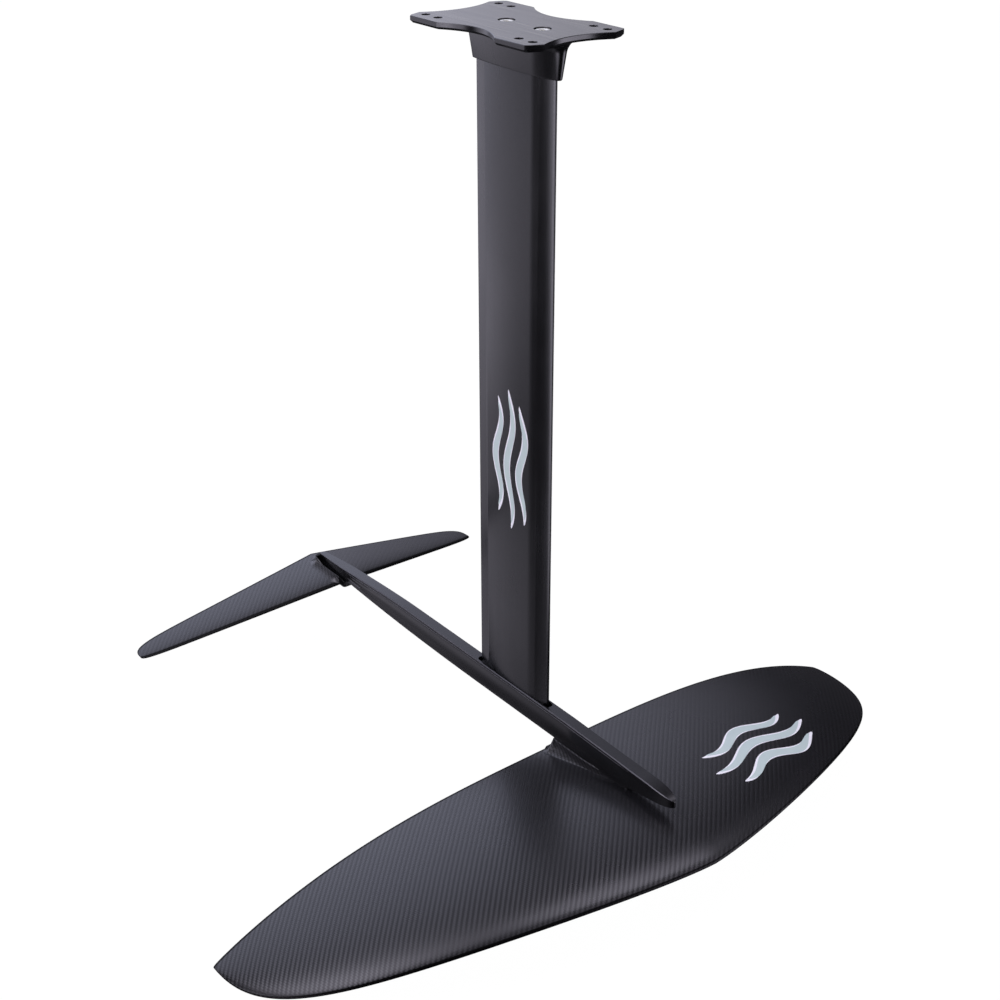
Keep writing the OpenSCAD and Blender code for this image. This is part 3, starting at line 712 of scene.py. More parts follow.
def build_stabilizer():
    bores = [round_cutter(x, 0, tail_seat_z - 30, tail_seat_z + 5, 6.4) for x in stab_screw_x]
    upper = wing_skin("stabilizer_upper", stabilizer, 1, stab_carbon, 40, 56, bores)
    finish_piece(upper, "carbon_twill", "stabilizer_upper_skin")
    cups = []
    for x in stab_screw_x:
        mouth = stabilizer.surface(x, 0, -1)
        cups.append(round_cutter(x, 0, mouth - 20, mouth + 3.4, 13))
    lower = wing_skin("stabilizer_lower", stabilizer, -1, stab_carbon, 40, 56, cups)
    finish_piece(lower, "carbon_twill", "stabilizer_lower_skin")


build_front_wing()
build_stabilizer()


# ---- Seats ------------------------------------------------------------------------------------------------


class PlanPoint:
    """A point of a seat's outline in plan, with the direction that leads out of it."""

    def __init__(self, x, y, out_x, out_y):
        self.x = x
        self.y = y
        self.out = (out_x, out_y)

    def moved(self, distance):
        return self.x + self.out[0] * distance, self.y + self.out[1] * distance


def arc(x, y, radius, first_deg, last_deg, steps):
    """Outline points along an arc."""
    points = []
    for i in range(steps + 1):
        a = math.radians(first_deg + (last_deg - first_deg) * i / steps)
        points.append(PlanPoint(x + radius * math.cos(a), y + radius * math.sin(a), math.cos(a), math.sin(a)))
    return points


def side(x_from, x_to, y, steps):
    """Outline points between the ends of a straight side, without the ends."""
    out = math.copysign(1, y)
    return [PlanPoint(x_from + (x_to - x_from) * i / steps, y, 0.0, out) for i in range(1, steps)]


def back_end(x, half, steps):
    """Outline points between the corners of a straight rear end."""
    return [PlanPoint(x, half * (1 - 2 * i / steps), -1.0, 0.0) for i in range(1, steps)]


def smooth_step(value, low, high):
    share = min(1.0, max(0.0, (value - low) / (high - low)))
    return share * share * (3 - 2 * share)


def fairing(wing, place, foot, lean, rise, reach, steps=8):
    """Points down a hollow fairing from a wall to the wing's surface, and on to just below that surface."""
    column = []
    for i in range(steps + 1):
        share = i / steps
        x, y = place.moved(lean + reach * share)
        column.append((x, y, surface_or(wing, x, y, foot) + rise * (1 - share) ** 2))
    x, y = place.moved(lean + reach + 1.0)
    column.append((x, y, surface_or(wing, x, y, foot) - 0.5))
    x, y = place.moved(lean)
    column.append((x, y, foot - 1.2))
    return column


def surface_or(wing, x, y, level):
    """Height of the wing's upper surface, or the given level where the wing doesn't reach."""
    x_le, chord, z, core = wing.station(y)
    return wing.surface(x, y) if x_le - chord < x < x_le else level


def dress_seat(seat, painted_shade_at):
    """Gives a seat its place on the cloth, as if the cloth were wrapped up its walls, and its painted shade.
    """
    weave = seat.data.uv_layers.new(name="weave")
    rim = seat.data.attributes.new("rim", "FLOAT", "POINT")
    for vertex in seat.data.vertices:
        rim.data[vertex.index].value = painted_shade_at(vertex.co / MM)
    for loop in seat.data.loops:
        place = seat.data.vertices[loop.vertex_index].co
        weave.data[loop.index].uv = (place.x, place.y + place.z)


def rings_of(columns):
    return [[column[k] for column in columns] for k in range(len(columns[0]))]


def build_wing_seat():
    """The raised seat under the bar: its sides draw in forward, its fairing fades and its rear end slopes."""
    top = bar_bottom
    half = 9.0
    narrow_half = 4.5
    corner = 2.5
    rear_slope = 0.42
    edge = 0.6
    fillet = 7.5
    back = seat_low.x + 9
    front = seat_high.x - narrow_half

    def flank(x_from, x_to, sign):
        points = side(x_from, x_to, sign, 32)
        for place in points:
            place.y = sign * (half - (half - narrow_half) * smooth_step(place.x, 128, 190))
        return points

    outline = (
        arc(front, 0, narrow_half, -90, 90, 16)
        + flank(front, back + corner, 1)
        + arc(back + corner, half - corner, corner, 90, 180, 6)
        + back_end(back, half - corner, 4)
        + arc(back + corner, corner - half, corner, 180, 270, 6)
        + flank(back + corner, front, -1)
    )
    columns = []
    for place in outline:
        foot = front_wing.surface(place.x, place.y)
        fade = smooth_step(place.x, back + 8, back + 66)
        reach = fillet * (1 - 0.99 * fade)
        rise = min(reach, (top - foot) * 0.8)
        lean = rear_slope * max(0.0, -place.out[0]) * (top - foot - rise)
        x, y = place.moved(-edge)
        column = [(x, y, top)]
        x, y = place.moved(0)
        column.append((x, y, top - edge))
        columns.append(column + fairing(front_wing, place, foot, lean, rise, reach))
    seat = make_object("front_wing_pedestal", *loft(rings_of(columns)), [wing_carbon], 40)
    cut(seat, [round_cutter(x, 0, bar_bottom - 40, bar_bottom + 5, 8.5) for x in wing_screw_x])
    dress_seat(seat, lambda place: 0.0)
    finish_piece(seat, "carbon_twill", "front_wing_seat")


def build_cradle():
    """The cradle round the bar's tail: a thin lip with a soft fairing outside and a flat seat inside."""
    half = cradle_high.y
    front = cradle_high.x
    back = cradle_low.x
    lip_back = cradle_high.z
    lip_front = tail_seat_z + 1.8
    wall = 1.6
    end_wall = 5.0
    corner = 9.0
    front_corner = 2.0
    edge = 0.45
    reach = 8.0
    outline = (
        arc(front - front_corner, half - front_corner, front_corner, 0, 90, 6)
        + side(front - front_corner, back + corner, half, 28)
        + arc(back + corner, half - corner, corner, 90, 180, 10)
        + arc(back + corner, corner - half, corner, 180, 270, 10)
        + side(back + corner, front - front_corner, -half, 28)
        + arc(front - front_corner, front_corner - half, front_corner, 270, 360, 6)
    )
    columns = []
    for place in outline:
        foot = surface_or(stabilizer, place.x, place.y, stab_root_z - 1.0)
        lip = lip_front + (lip_back - lip_front) * (1 - smooth_step(place.x, back + 9, back + 25))
        lip += (tail_seat_z + 0.02 - lip) * smooth_step(place.x, front - 9, front - 0.5)
        over_wing = 1 - smooth_step(place.x, stab_le_x - 14, stab_le_x - 1)
        behind = max(0.0, -place.out[0]) ** 2
        inward = wall + (end_wall - wall) * behind
        inner_x, inner_y = place.moved(-inward)
        inner_x = min(inner_x, front - 0.3)
        rim_x, rim_y = place.moved(-inward + edge)
        outer_x, outer_y = place.moved(-edge)
        x, y = place.moved(0)
        column = [
            (inner_x, inner_y, tail_seat_z),
            (inner_x, inner_y, max(tail_seat_z, lip - edge)),
            (rim_x, rim_y, lip),
            (outer_x, outer_y, lip),
            (x, y, lip - edge),
        ]
        rise = 0.5 + (min(lip, lip_front) - edge - foot - 0.5) * over_wing
        run = 0.5 + (min(reach, place.x - stab_te_x - 1) - 0.5) * over_wing
        columns.append(column + fairing(stabilizer, place, foot, 0.0, rise, run))
    cradle = make_object("stabilizer_cradle", *loft(rings_of(columns)), [stab_carbon], 40)
    cut(cradle, [round_cutter(x, 0, tail_seat_z - 30, tail_seat_z + 5, 6.4) for x in stab_screw_x])
    # Painted shade inside the pocket round the bar's tail and on the nub ahead of the stabilizer's leading
    # edge.
    shaded_nub_x = stab_le_x - 4
    pocket_half = half - wall + 0.1
    dress_seat(cradle, lambda place: 1.0 if place.x > shaded_nub_x or abs(place.y) < pocket_half else 0.0)
    finish_piece(cradle, "carbon_twill", "stabilizer_seat")


build_wing_seat()
build_cradle()


# ---- Mast -------------------------------------------------------------------------------------------------

NOSE_SHARE = 0.24
MAST_EDGE_HALF = 0.9


def mast_half(u):
    """Half thickness of the mast's section at u, 0 at the nose and 1 at the tail."""
    crown = mast_thickness / 2
    if u < NOSE_SHARE:
        return crown * rounded(1 - u / NOSE_SHARE, 1.3, 1.9)
    aft = (u - NOSE_SHARE) / (1 - NOSE_SHARE)
    return MAST_EDGE_HALF + (crown - MAST_EDGE_HALF) * (1 - aft**2.9)


def end_round(distance, radius):
    if radius <= 0:
        return 1.0
    return math.sqrt(max(0.0, 1 - (1 - min(1, max(0, distance) / radius)) ** 2))


def mast_ring(z, nose=0.0, tail=0.0, side=0.0, steps=56):
    """The mast's outline at height z, grown at its nose, its tail and on its flanks."""
    x_nose = mast_high.x + nose
    chord = mast_chord + nose + tail
    tail_radius = max(side, MAST_EDGE_HALF)
    flank = []
    for i in range(steps + 1):
        u = (1 - math.cos(math.pi * i / steps)) / 2
        half = mast_half(u) + side * end_round(u * chord, 2 * side)
        flank.append((x_nose - u * chord, half * end_round((1 - u) * chord, tail_radius), z))
    return flank + [(x, -y, z) for x, y, z in flank[-2:0:-1]]


def stadium(z, half_length, radius, count=48):
    """A bar with round ends, centred on the mast."""
    middle = (mast_low.x + mast_high.x) / 2
    points = []
    for i in range(count):
        a = 2 * math.pi * (i + 0.5) / count
        shift = half_length if math.cos(a) > 0 else -half_length
        points.append((middle + shift + radius * math.cos(a), radius * math.sin(a), z))
    return points


TENON_RADIUS = 4.8
TENON_SHORT = 3
tenon_half = mast_chord / 2 - TENON_SHORT - TENON_RADIUS


def build_mast():
    b = Builder()
    break_edge = 0.4
    foot = bar_top + 0.05
    ring_low, ring_high = b.wall([
        mast_ring(foot, -break_edge, -break_edge, -break_edge * 0.5),
        mast_ring(foot + break_edge),
        mast_ring(mast_high.z - break_edge),
        mast_ring(mast_high.z, -break_edge, -break_edge, -break_edge * 0.5),
    ])
    b.cap(ring_high)
    tenon_top, tenon_low = b.wall([
        stadium(foot, tenon_half, TENON_RADIUS - 0.2),
        stadium(mast_low.z + 0.5, tenon_half, TENON_RADIUS - 0.2),
        stadium(mast_low.z, tenon_half, TENON_RADIUS - 0.7),
    ])
    b.sheet(ring_low, [tenon_top])
    b.cap(tenon_low)
    mast = b.build("mast_extrusion", [mast_metal], 30)
    finish_piece(mast, "anodised_aluminium", "mast")


build_mast()


# ---- Board plate ------------------------------------------------------------------------------------------

SIDE_SCOOP = 15.5
END_SCOOP = 12.0
SIDE_SCOOP_HALF = 45
END_SCOOP_HALF = 43
CORNER_TAPER = (5, 3.5)
CORNER_CUT = 8.5
BOARD_HOLE_R = 4.25
COUNTERBORE_R = 8.4
COUNTERBORE_SEAT = -6.2
TRACK_HALF = 45
HOLE_X = (165 / 2, 125 / 2)


def plate_quarter(steps=18):
    """The outline from the middle of the front end to the middle of the port side."""
    hx, hy = plate_high.x, plate_high.y
    shares = [i / steps for i in range(steps + 1)]
    front = [(hx - END_SCOOP * (1 - t * t), END_SCOOP_HALF * t) for t in shares]
    corner = [(hx - CORNER_TAPER[0], hy - CORNER_TAPER[1]), (hx - CORNER_CUT, hy)]
    side = [(SIDE_SCOOP_HALF * t, hy - SIDE_SCOOP * (1 - t * t)) for t in reversed(shares)]
    return front + corner + side


def plate_outline():
    q = plate_quarter()
    port_rear = [(-x, y) for x, y in q[-2::-1]]
    starboard_rear = [(-x, -y) for x, y in q[1:]]
    starboard_front = [(x, -y) for x, y in q[-2:0:-1]]
    return q + port_rear + starboard_rear + starboard_front


def inset(outline, distance, z):
    """The outline moved inwards by distance, at height z."""
    points = []
    count = len(outline)
    for i in range(count):
        before, here, after = (Vector(outline[(i + k) % count]) for k in (-1, 0, 1))
        ahead = (after - here).normalized()
        behind = (here - before).normalized()
        n1 = Vector((-ahead.y, ahead.x))
        n2 = Vector((-behind.y, behind.x))
        mitre = (n1 + n2) / (1 + n1.dot(n2))
        moved = here + mitre * distance
        points.append((moved.x, moved.y, z))
    return points


COLLAR_GROWTH = (5.5, 4.6, 1.5)  # beyond the mast at the rim: nose, tail, flanks
COLLAR_DRAFT = (0.18, 0.18, 0.11)
COLLAR_FLARE = (6.6, 8.5, 11.0)
RIM_ROUND = 1.4


def collar_ring(z, flare, less=0.0):
    rise = z - plate_low.z
    nose, tail, side = (
        COLLAR_GROWTH[k] + COLLAR_DRAFT[k] * rise + COLLAR_FLARE[k] * flare - less for k in range(3)
    )
    return mast_ring(z, nose, tail, side)


def build_plate():
    b = Builder()
    outline = plate_outline()
    top_chamfer = 0.5
    low_chamfer = 2.6
    low = -plate_thickness
    top_ring, low_ring = b.wall([
        inset(outline, top_chamfer, 0),
        inset(outline, 0, -top_chamfer),
        inset(outline, 0, low + low_chamfer),
        inset(outline, low_chamfer, low),
    ])
    top_holes, low_holes = [], []
    for x in [sx * hole for sx in (-1, 1) for hole in HOLE_X]:
        for y in (-TRACK_HALF, TRACK_HALF):
            first, last = b.wall([
                circle(x, y, 0, BOARD_HOLE_R + 0.5, 36),
                circle(x, y, -0.5, BOARD_HOLE_R, 36),
                circle(x, y, low + 0.5, BOARD_HOLE_R, 36),
                circle(x, y, low, BOARD_HOLE_R + 0.5, 36),
            ])
            top_holes.append(first)
            low_holes.append(last)
    pocket_holes = []
    for x in mast_screw_x:
        first, last = b.wall([
            circle(x, 0, 0, COUNTERBORE_R + 0.35),
            circle(x, 0, -0.35, COUNTERBORE_R),
            circle(x, 0, COUNTERBORE_SEAT, COUNTERBORE_R),
            circle(x, 0, COUNTERBORE_SEAT, 4.25),
            circle(x, 0, mast_high.z, 4.25),
        ])
        top_holes.append(first)
        pocket_holes.append(last)
    b.sheet(top_ring, top_holes)
    flare_height = 11
    rings = []
    for i in range(11):
        a = math.pi / 2 * i / 10
        rings.append(collar_ring(low - flare_height * (1 - math.cos(a)), 1 - math.sin(a)))
    for i in range(5):
        a = math.pi / 2 * i / 4
        z = plate_low.z + RIM_ROUND * (1 - math.sin(a))
        rings.append(collar_ring(z, 0, RIM_ROUND * 0.9 * (1 - math.cos(a))))
    clearance = 0.12
    rings.append(mast_ring(plate_low.z, clearance, clearance, clearance))
    rings.append(mast_ring(mast_high.z, clearance, clearance, clearance))
    flare_top, pocket_top = b.wall(rings)
    b.sheet(low_ring, low_holes + [flare_top])
    b.sheet(pocket_top, pocket_holes)
    plate = b.build("board_plate", [plate_metal, mast_metal], 30)
    for face in plate.data.polygons:
        if face.center.z < (low - 0.3) * MM:
            face.material_index = 1
    finish_piece(plate, "anodised_aluminium", "top_plate")


build_plate()


# ---- Fuselage ---------------------------------------------------------------------------------------------

NOSE_SLOPE_X = 100
NOSE_ROUND_X = 222
NOSE_SLOPE_DROP = 3
NOSE_ROUND_DROP = 8
TAIL_SLOPE_X = -215
NOSE_LIFT_X = 190
NOSE_LIFT = 13.5
TAIL_RISE_X = -60
TAIL_FLAT_X = -336
NOSE_NARROW_X = 240
TAIL_NARROW_X = -330
TAIL_NARROWING = 4.2
nose_x = fuselage_high.x
tail_x = fuselage_low.x


def bar_top_at(x):
    if x > NOSE_ROUND_X:
        into = (x - NOSE_ROUND_X) / (nose_x - NOSE_ROUND_X)
        return bar_top - NOSE_SLOPE_DROP - NOSE_ROUND_DROP * (1 - math.sqrt(max(0, 1 - into**2)))
    if x > NOSE_SLOPE_X:
        return bar_top - NOSE_SLOPE_DROP * (x - NOSE_SLOPE_X) / (NOSE_ROUND_X - NOSE_SLOPE_X)
    if x < TAIL_SLOPE_X:
        return bar_top - 9 * ((TAIL_SLOPE_X - x) / 180) ** 1.45
    return bar_top


def bar_bottom_at(x):
    if x > NOSE_LIFT_X:
        return bar_bottom + NOSE_LIFT * ((x - NOSE_LIFT_X) / (nose_x - NOSE_LIFT_X)) ** 0.9
    if x < TAIL_FLAT_X:
        return tail_seat_z
    if x < TAIL_RISE_X:
        into = (TAIL_RISE_X - x) / (TAIL_RISE_X - TAIL_FLAT_X)
        return bar_bottom + (tail_seat_z - bar_bottom) * into**2.2
    return bar_bottom


def bar_half_at(x):
    full = fuselage_high.y
    if x > NOSE_NARROW_X:
        return full * math.sqrt(max(0, 1 - ((x - NOSE_NARROW_X) / (nose_x - NOSE_NARROW_X)) ** 2.4))
    if x < TAIL_NARROW_X:
        return full - TAIL_NARROWING * ((TAIL_NARROW_X - x) / (TAIL_NARROW_X - tail_x)) ** 1.6
    return full


def bar_ring(x, shrink=1.0):
    """Cross-section: a chamfered top rail, a fine ledge under it, a shallow cove and broken lower edges.

    The flanks are plain at the nose and inside the tail's cradle.
    """
    half = max(bar_half_at(x) * shrink, 0.3)
    top, low = bar_top_at(x), bar_bottom_at(x)
    height = max(top - low, 1.0)
    middle = (top + low) / 2
    if shrink < 1:
        height *= shrink
        top, low = middle + height / 2, middle - height / 2
    scale = min(1.0, half / 8, height / 20)
    chamfer = 1.0 * scale
    relief = smooth_step(x, TAIL_FLAT_X - 14, TAIL_FLAT_X) * (1 - smooth_step(x, 175, 215))
    rail = 0.4 * scale * relief
    rail_depth = 3.2 * scale
    cove = 1.2 * scale * relief
    cove_top = 5.6 * scale
    cove_low = 6.5 * scale
    flank = [
        (0.0, top),
        (half - rail - chamfer, top),
        (half - rail, top - chamfer),
        (half - rail, top - rail_depth),
        (half, top - rail_depth - rail),
        (half, top - cove_top),
    ]
    cove_steps = 8
    for i in range(1, cove_steps):
        share = i / cove_steps
        z = top - cove_top - (height - cove_top - cove_low) * share
        flank.append((half - cove * math.sin(math.pi * share) ** 0.7, z))
    flank += [(half, low + cove_low), (half, low + chamfer), (half - chamfer, low), (0.0, low)]
    return [(x, y, z) for y, z in flank] + [(x, -y, z) for y, z in flank[-2:0:-1]]


def bar_places():
    """Places along the bar, closer together at the nose and the tail."""
    places = [tail_x + 1.2 * i for i in range(3)]
    places += [tail_x + 6 + (TAIL_FLAT_X - tail_x - 6) * i / 12 for i in range(13)]
    places += [TAIL_FLAT_X + (TAIL_RISE_X - TAIL_FLAT_X) * i / 24 for i in range(1, 25)]
    places += [-20, 20, 60, NOSE_SLOPE_X, 130, 160]
    places += [NOSE_LIFT_X + (NOSE_NARROW_X - NOSE_LIFT_X) * i / 12 for i in range(13)]
    places += [NOSE_NARROW_X + (nose_x - NOSE_NARROW_X) * math.sin(math.pi / 2 * i / 14) for i in range(1, 15)]
    return places


def build_fuselage():
    rings = []
    for x in bar_places():
        end = (x - tail_x) / 2.4
        shrink = 1.0 if end >= 1 else 0.9 + 0.1 * math.sqrt(max(0, end))
        rings.append(bar_ring(x, shrink))
    bar = make_object("fuselage_bar", *loft(rings), [bar_metal, chamfer_highlight_metal], 24)
    # The top chamfers, leaning up and out, get the lighter aluminium: a painted highlight line along the bar's
    # top edges.
    for face in bar.data.polygons:
        if 0.5 < face.normal.z < 0.9 and abs(face.normal.y) > 0.4:
            face.material_index = 1
    pocket_half = tenon_half + 7
    pocket = loft([stadium(bar_top - 12.5, pocket_half, 5.1), stadium(bar_top + 5, pocket_half, 5.1)])
    cutters = [make_object("cutter", *pocket, [])]
    for x in mast_screw_x:
        cutters.append(round_cutter(x, 0, bar_bottom - 5, bar_bottom + 9, 13.6))
        cutters.append(round_cutter(x, 0, bar_bottom + 5, bar_top, 8.5))
    cut(bar, cutters)
    bar.data.set_sharp_from_angle(angle=math.radians(24))
    finish_piece(bar, "anodised_aluminium", "fuselage")


build_fuselage()


# ---- Fasteners --------------------------------------------------------------------------------------------


def screw_stack(x, direction, seat, head_r, head_h, shank_r, length, flats):
    """Rings of a socket screw from the shank's end to the socket's floor. direction 1 has its head up."""
    def at(z):
        return seat + direction * z
    return [
        circle(x, 0, at(-length), shank_r - 0.8),
        circle(x, 0, at(-length + 0.8), shank_r),
        circle(x, 0, at(-0.05), shank_r),
        circle(x, 0, at(0), head_r - 0.3),
        circle(x, 0, at(0.3), head_r),
        circle(x, 0, at(head_h - 0.8), head_r),
        circle(x, 0, at(head_h - 0.25), head_r - 0.25),
        circle(x, 0, at(head_h), head_r - 0.8),
        circle(x, 0, at(head_h), flats / 2 + 1.0),
        hexagon(x, 0, at(head_h - 0.35), flats),
        hexagon(x, 0, at(head_h * 0.45), flats),
        circle(x, 0, at(head_h * 0.4), 0.6),
    ]


def flat_screw_stack(x, mouth, head_r, shank_r, length, flats):
    """Rings of a countersunk screw whose head faces down at height mouth."""
    cone = head_r - shank_r
    return [
        circle(x, 0, mouth + length, shank_r - 0.8),
        circle(x, 0, mouth + length - 0.8, shank_r),
        circle(x, 0, mouth + cone, shank_r),
        circle(x, 0, mouth + 0.3, head_r - 0.05),
        circle(x, 0, mouth, head_r - 0.35),
        circle(x, 0, mouth, flats / 2 + 0.8),
        hexagon(x, 0, mouth + 0.25, flats),
        hexagon(x, 0, mouth + cone * 0.7, flats),
        circle(x, 0, mouth + cone * 0.75, 0.5),
    ]


def build_group(name, stacks, material, slot, node):
    """Several equal lathed parts as one mesh."""
    b = Builder()
    for stack in stacks:
        first, last = b.wall(stack)
        b.cap(first)
        b.cap(last)
    finish_piece(b.build(name, [material], 35), slot, node)


def cup_stack(x, mouth, outer_r, mouth_r, bore_r, height):
    """Rings of a countersunk washer, closed on itself."""
    cone = mouth_r - bore_r
    return [
        circle(x, 0, mouth + 0.3, outer_r),
        circle(x, 0, mouth + height, outer_r),
        circle(x, 0, mouth + height, bore_r),
        circle(x, 0, mouth + cone, bore_r),
        circle(x, 0, mouth + 0.2, mouth_r),
        circle(x, 0, mouth, mouth_r + 0.2),
        circle(x, 0, mouth, outer_r - 0.3),
    ]


def build_cups(name, stacks, node):
    b = Builder()
    for stack in stacks:
        first, last = b.wall(stack)
        b.band(last, first)
    finish_piece(b.build(name, [steel], 35), "stainless_steel", node)


def build_fasteners():
    plate_head_h = plate_head_high.z - COUNTERBORE_SEAT
    plate_length = COUNTERBORE_SEAT - plate_head_low.z
    build_group(
        "plate_cap_screws",
        [screw_stack(x, 1, COUNTERBORE_SEAT, 7.5, plate_head_h, 4, plate_length, 5) for x in mast_screw_x],
        steel, "stainless_steel", "plate_screws",
    )
    foot_seat = foot_screw_low.z + 8
    foot_length = foot_screw_high.z - foot_seat
    build_group(
        "mast_foot_cap_screws",
        [screw_stack(x, -1, foot_seat, 6.5, 8, 4, foot_length, 6) for x in mast_screw_x],
        steel, "stainless_steel", "mast_foot_screws",
    )
    wing_end = wing_screw_high.z
    stacks, cups = [], []
    for x in wing_screw_x:
        mouth = front_wing.surface(x, 0, -1) + 0.6
        stacks.append(flat_screw_stack(x, mouth + 0.2, 7.8, 4, wing_end - mouth - 0.2, 5))
        cups.append(cup_stack(x, mouth, 9.5, 8, 4.25, 6))
    build_group("front_wing_flat_screws", stacks, steel, "stainless_steel", "front_wing_screws")
    build_cups("front_wing_cup_washers", cups, "front_wing_screw_cups")
    stab_end = stab_screw_high.z
    stacks, cups = [], []
    for x in stab_screw_x:
        mouth = stabilizer.surface(x, 0, -1) + 0.2
        stacks.append(flat_screw_stack(x, mouth + 0.1, 5.6, 3, stab_end - mouth - 0.1, 4))
        cups.append(cup_stack(x, mouth, 6.5, 5.8, 3.2, 3.2))
    build_group("stabilizer_flat_screws", stacks, steel, "stainless_steel", "stabilizer_screws")
    build_cups("stabilizer_cup_washers", cups, "stabilizer_screw_cups")


build_fasteners()


# ---- CAD nodes that stay, with their materials ------------------------------------------------------------


def paint(node, material):
    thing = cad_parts[node]
    thing.data.materials.clear()
    thing.data.materials.append(material)


for node in ("mast_head_inserts", "mast_foot_inserts", "fuselage_wing_inserts", "fuselage_tail_inserts"):
    paint(node, steel)
for node in ("front_wing_core", "stabilizer_core"):
    paint(node, foam)
for node in ("front_wing_root_block", "stabilizer_root_block"):
    paint(node, laminate)


# ---- Printed wave marks -----------------------------------------------------------------------------------


def wave_ribbon(length, width, sway, phase, place_on, lift, name, material):
    """A wavy band with pointed ends. place_on(along, across, lift) gives a point on the printed surface."""
    steps = 64
    across_steps = 4
    skin = 0.02
    grid = {True: [], False: []}
    b = Builder()
    for upper in (False, True):
        for i in range(steps + 1):
            share = i / steps
            half = width / 2 * math.sin(math.pi * share) ** 0.55
            middle = sway * math.sin(2 * math.pi * 1.5 * share + phase)
            height = lift if upper else skin
            row = [
                place_on(length * (share - 0.5), middle + half * (2 * j / across_steps - 1), height)
                for j in range(across_steps + 1)
            ]
            grid[upper].append(b.ring(row))
    for upper, rows in grid.items():
        for first, second in zip(rows, rows[1:]):
            for j in range(across_steps):
                b.faces.append([first[j], first[j + 1], second[j + 1], second[j]])
    for first, second, low_first, low_second in zip(grid[True], grid[True][1:], grid[False], grid[False][1:]):
        for j in (0, across_steps):
            b.faces.append([first[j], second[j], low_second[j], low_first[j]])
    return finish_piece(b.build(name, [material], 40), "carbon_twill")


def print_waves(name, surface_point, length, width, sway, gap, lines):
    """Stacked waves, each a white band with a paler one on top."""
    rim = 1.3
    for k in range(lines):
        offset = gap * (k - (lines - 1) / 2)
        shorter = length * (1 - 0.16 * abs(k - (lines - 1) / 2))

        def place_on(along, across, lift):
            return surface_point(along, across + offset, lift)

        phase = 0.5 * k
        wave_ribbon(shorter, width, sway, phase, place_on, 0.06, f"{name}_edge_{k}", ink_edge)
        inner = width - 2 * rim
        wave_ribbon(shorter - 14, inner, sway, phase, place_on, 0.1, f"{name}_fill_{k}", ink_fill)


MAST_MARK = (0.0, -463.0)  # x and z of its middle
WING_MARK = (228.0, 178.0)  # x and y of its middle
mark_turn = math.radians(8)


def on_mast(along, across, lift):
    x = MAST_MARK[0] + across
    u = (mast_high.x - x) / mast_chord
    return x, -mast_half(u) - lift, MAST_MARK[1] + along


def on_wing(along, across, lift):
    x = WING_MARK[0] + across * math.cos(mark_turn) - along * math.sin(mark_turn)
    y = WING_MARK[1] + across * math.sin(mark_turn) + along * math.cos(mark_turn)
    return x, y, front_wing.surface(x, y) + lift


print_waves("mast_wave", on_mast, 166, 12, 5.5, 21, 3)
print_waves("wing_wave", on_wing, 176, 15, 7, 27, 3)


# ---- Studio -----------------------------------------------------------------------------------------------


def build_floor():
    """A pale floor that only the camera sees. From below it is clear, so the underside can be looked at."""
    size = 14.0
    z = cad_box[0].z - 0.0008
    corners = [(-size, -size, z), (size, -size, z), (size, size, z), (-size, size, z)]
    mesh = bpy.data.meshes.new("floor")
    mesh.from_pydata(corners, [], [[0, 1, 2, 3]])
    floor = bpy.data.objects.new("floor", mesh)
    bpy.context.scene.collection.objects.link(floor)
    floor.visible_glossy = False
    floor.visible_diffuse = False
    floor.visible_transmission = False
    n = Nodes("floor_pale")
    n.surface(
        Base_Color=grey(0.02), Roughness=1.0, Specular_IOR_Level=0.0, Emission_Color=grey(1.0),
        Emission_Strength=0.995,
    )
    geometry = n.new("ShaderNodeNewGeometry")
    clear = n.new("ShaderNodeBsdfTransparent")
    one_sided = n.new("ShaderNodeMixShader")
    n.put(one_sided.inputs["Fac"], geometry.outputs["Backfacing"])
    n.put(one_sided.inputs[1], n.shader.outputs[0])
    n.put(one_sided.inputs[2], clear.outputs[0])
    n.put(n.tree.nodes["Material Output"].inputs["Surface"], one_sided.outputs[0])
    mesh.materials.append(n.material)


class Sky(Nodes):
    """The room's light, as a function of direction."""

    def __init__(self, name):
        world = bpy.data.worlds.new(name)
        bpy.context.scene.world = world
        world.use_nodes = True
        self.tree = world.node_tree
        self.direction = self.new("ShaderNodeTexCoord").outputs["Generated"]

    def closeness(self, azimuth, height, inner, outer):
        """1 within inner degrees of a direction, falling softly to 0 at outer degrees."""
        a, h = math.radians(azimuth), math.radians(height)
        axis = (math.cos(h) * math.cos(a), math.cos(h) * math.sin(a), math.sin(h))
        dot = self.new("ShaderNodeVectorMath", {0: self.direction, 1: axis}, operation="DOT_PRODUCT")
        angle = self.maths("ARCCOSINE", self.maths("MINIMUM", dot.outputs["Value"], 1.0))
        inputs = {
            "Value": angle, "From Min": math.radians(inner), "From Max": math.radians(outer),
            "To Min": 1.0, "To Max": 0.0,
        }
        return self.new("ShaderNodeMapRange", inputs, interpolation_type="SMOOTHSTEP").outputs["Result"]


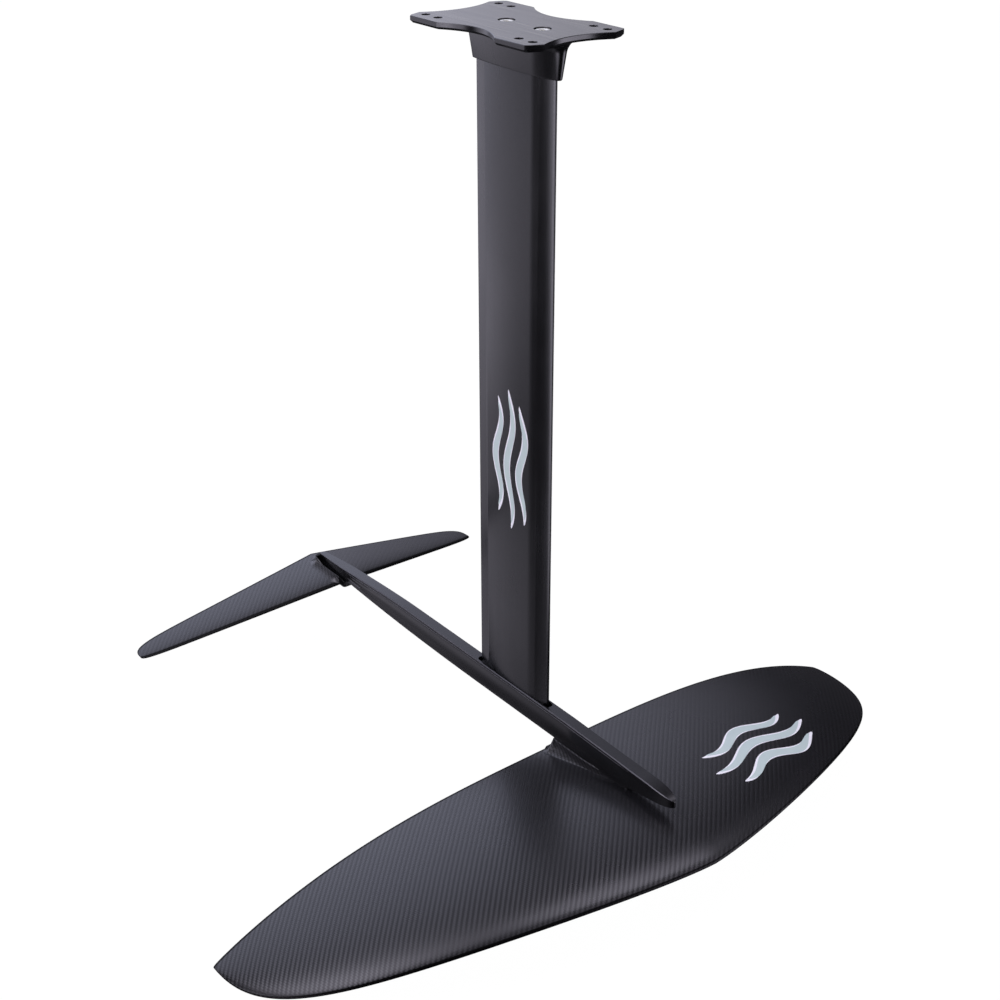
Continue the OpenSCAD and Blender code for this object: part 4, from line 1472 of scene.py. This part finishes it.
# Soft boxes and pale walls as (azimuth, height, inner, outer, brightness), with angles in degrees
ROOM_LIGHTS = (
    (225, 74, 0, 26, 2.1),
    (174, 27, 10, 52, 1.4),
    (88, 71, 10, 20, 2.9),
    (254, 50, 6, 33, 4.2),
    (263, -2, 16, 22, 2.2),
    (36, 48, 6, 48, 0.75),
    (206, -4, 13, 26, 1.0),
    (200, -26, 12, 24, 0.4),
    (200, -46, 6, 20, 0.15),
    (248, -46, 6, 20, 0.4),
    (286, -18, 8, 26, 3.2),
    (38, -12, 20, 34, 3.2),
)
ROOM_LEVEL = 0.035
COOL_WALL = (172, 25, 10, 60)  # the part of the room whose light is bluer


def build_world():
    sky = Sky("studio")
    total = ROOM_LEVEL
    for azimuth, height, inner, outer, brightness in ROOM_LIGHTS:
        total = sky.maths("MULTIPLY_ADD", sky.closeness(azimuth, height, inner, outer), brightness, total)
    light = sky.tree.nodes["Background"]
    cool = sky.closeness(*COOL_WALL)
    sky.put(light.inputs["Color"], sky.mix(cool, (0.99, 0.95, 1.12, 1.0), (0.94, 0.975, 1.24, 1.0)))
    sky.put(light.inputs["Strength"], total)
    backdrop = sky.new("ShaderNodeBackground", {"Color": grey(1.0), "Strength": 1.0})
    path = sky.new("ShaderNodeLightPath")
    mix = sky.new("ShaderNodeMixShader")
    sky.put(mix.inputs["Fac"], path.outputs["Is Camera Ray"])
    sky.put(mix.inputs[1], light.outputs[0])
    sky.put(mix.inputs[2], backdrop.outputs[0])
    sky.put(sky.tree.nodes["World Output"].inputs["Surface"], mix.outputs[0])


def build_camera():
    """The viewpoint: heading, tilt and roll in degrees, and the lens's own centre."""
    heading, tilt, roll = (math.radians(a) for a in (142.3565, 27.7975, -0.3068))
    ahead = Vector((math.cos(tilt) * math.cos(heading), math.cos(tilt) * math.sin(heading), -math.sin(tilt)))
    level = ahead.cross(Vector((0, 0, 1))).normalized()
    upright = level.cross(ahead)
    right = math.cos(roll) * level + math.sin(roll) * upright
    up = -math.sin(roll) * level + math.cos(roll) * upright
    data = bpy.data.cameras.new("camera")
    data.lens = 58.44
    data.sensor_width = 36.0
    data.shift_x = 0.00785
    data.shift_y = 0.01203
    data.clip_start = 0.05
    data.clip_end = 100.0
    camera = bpy.data.objects.new("camera", data)
    turn = Matrix((right, up, -ahead)).transposed().to_4x4()
    camera.matrix_world = Matrix.Translation((1.24091, -0.98783, 0.30799)) @ turn
    bpy.context.scene.collection.objects.link(camera)
    bpy.context.scene.camera = camera


build_floor()
build_world()
build_camera()
bpy.context.scene.view_settings.view_transform = "Standard"
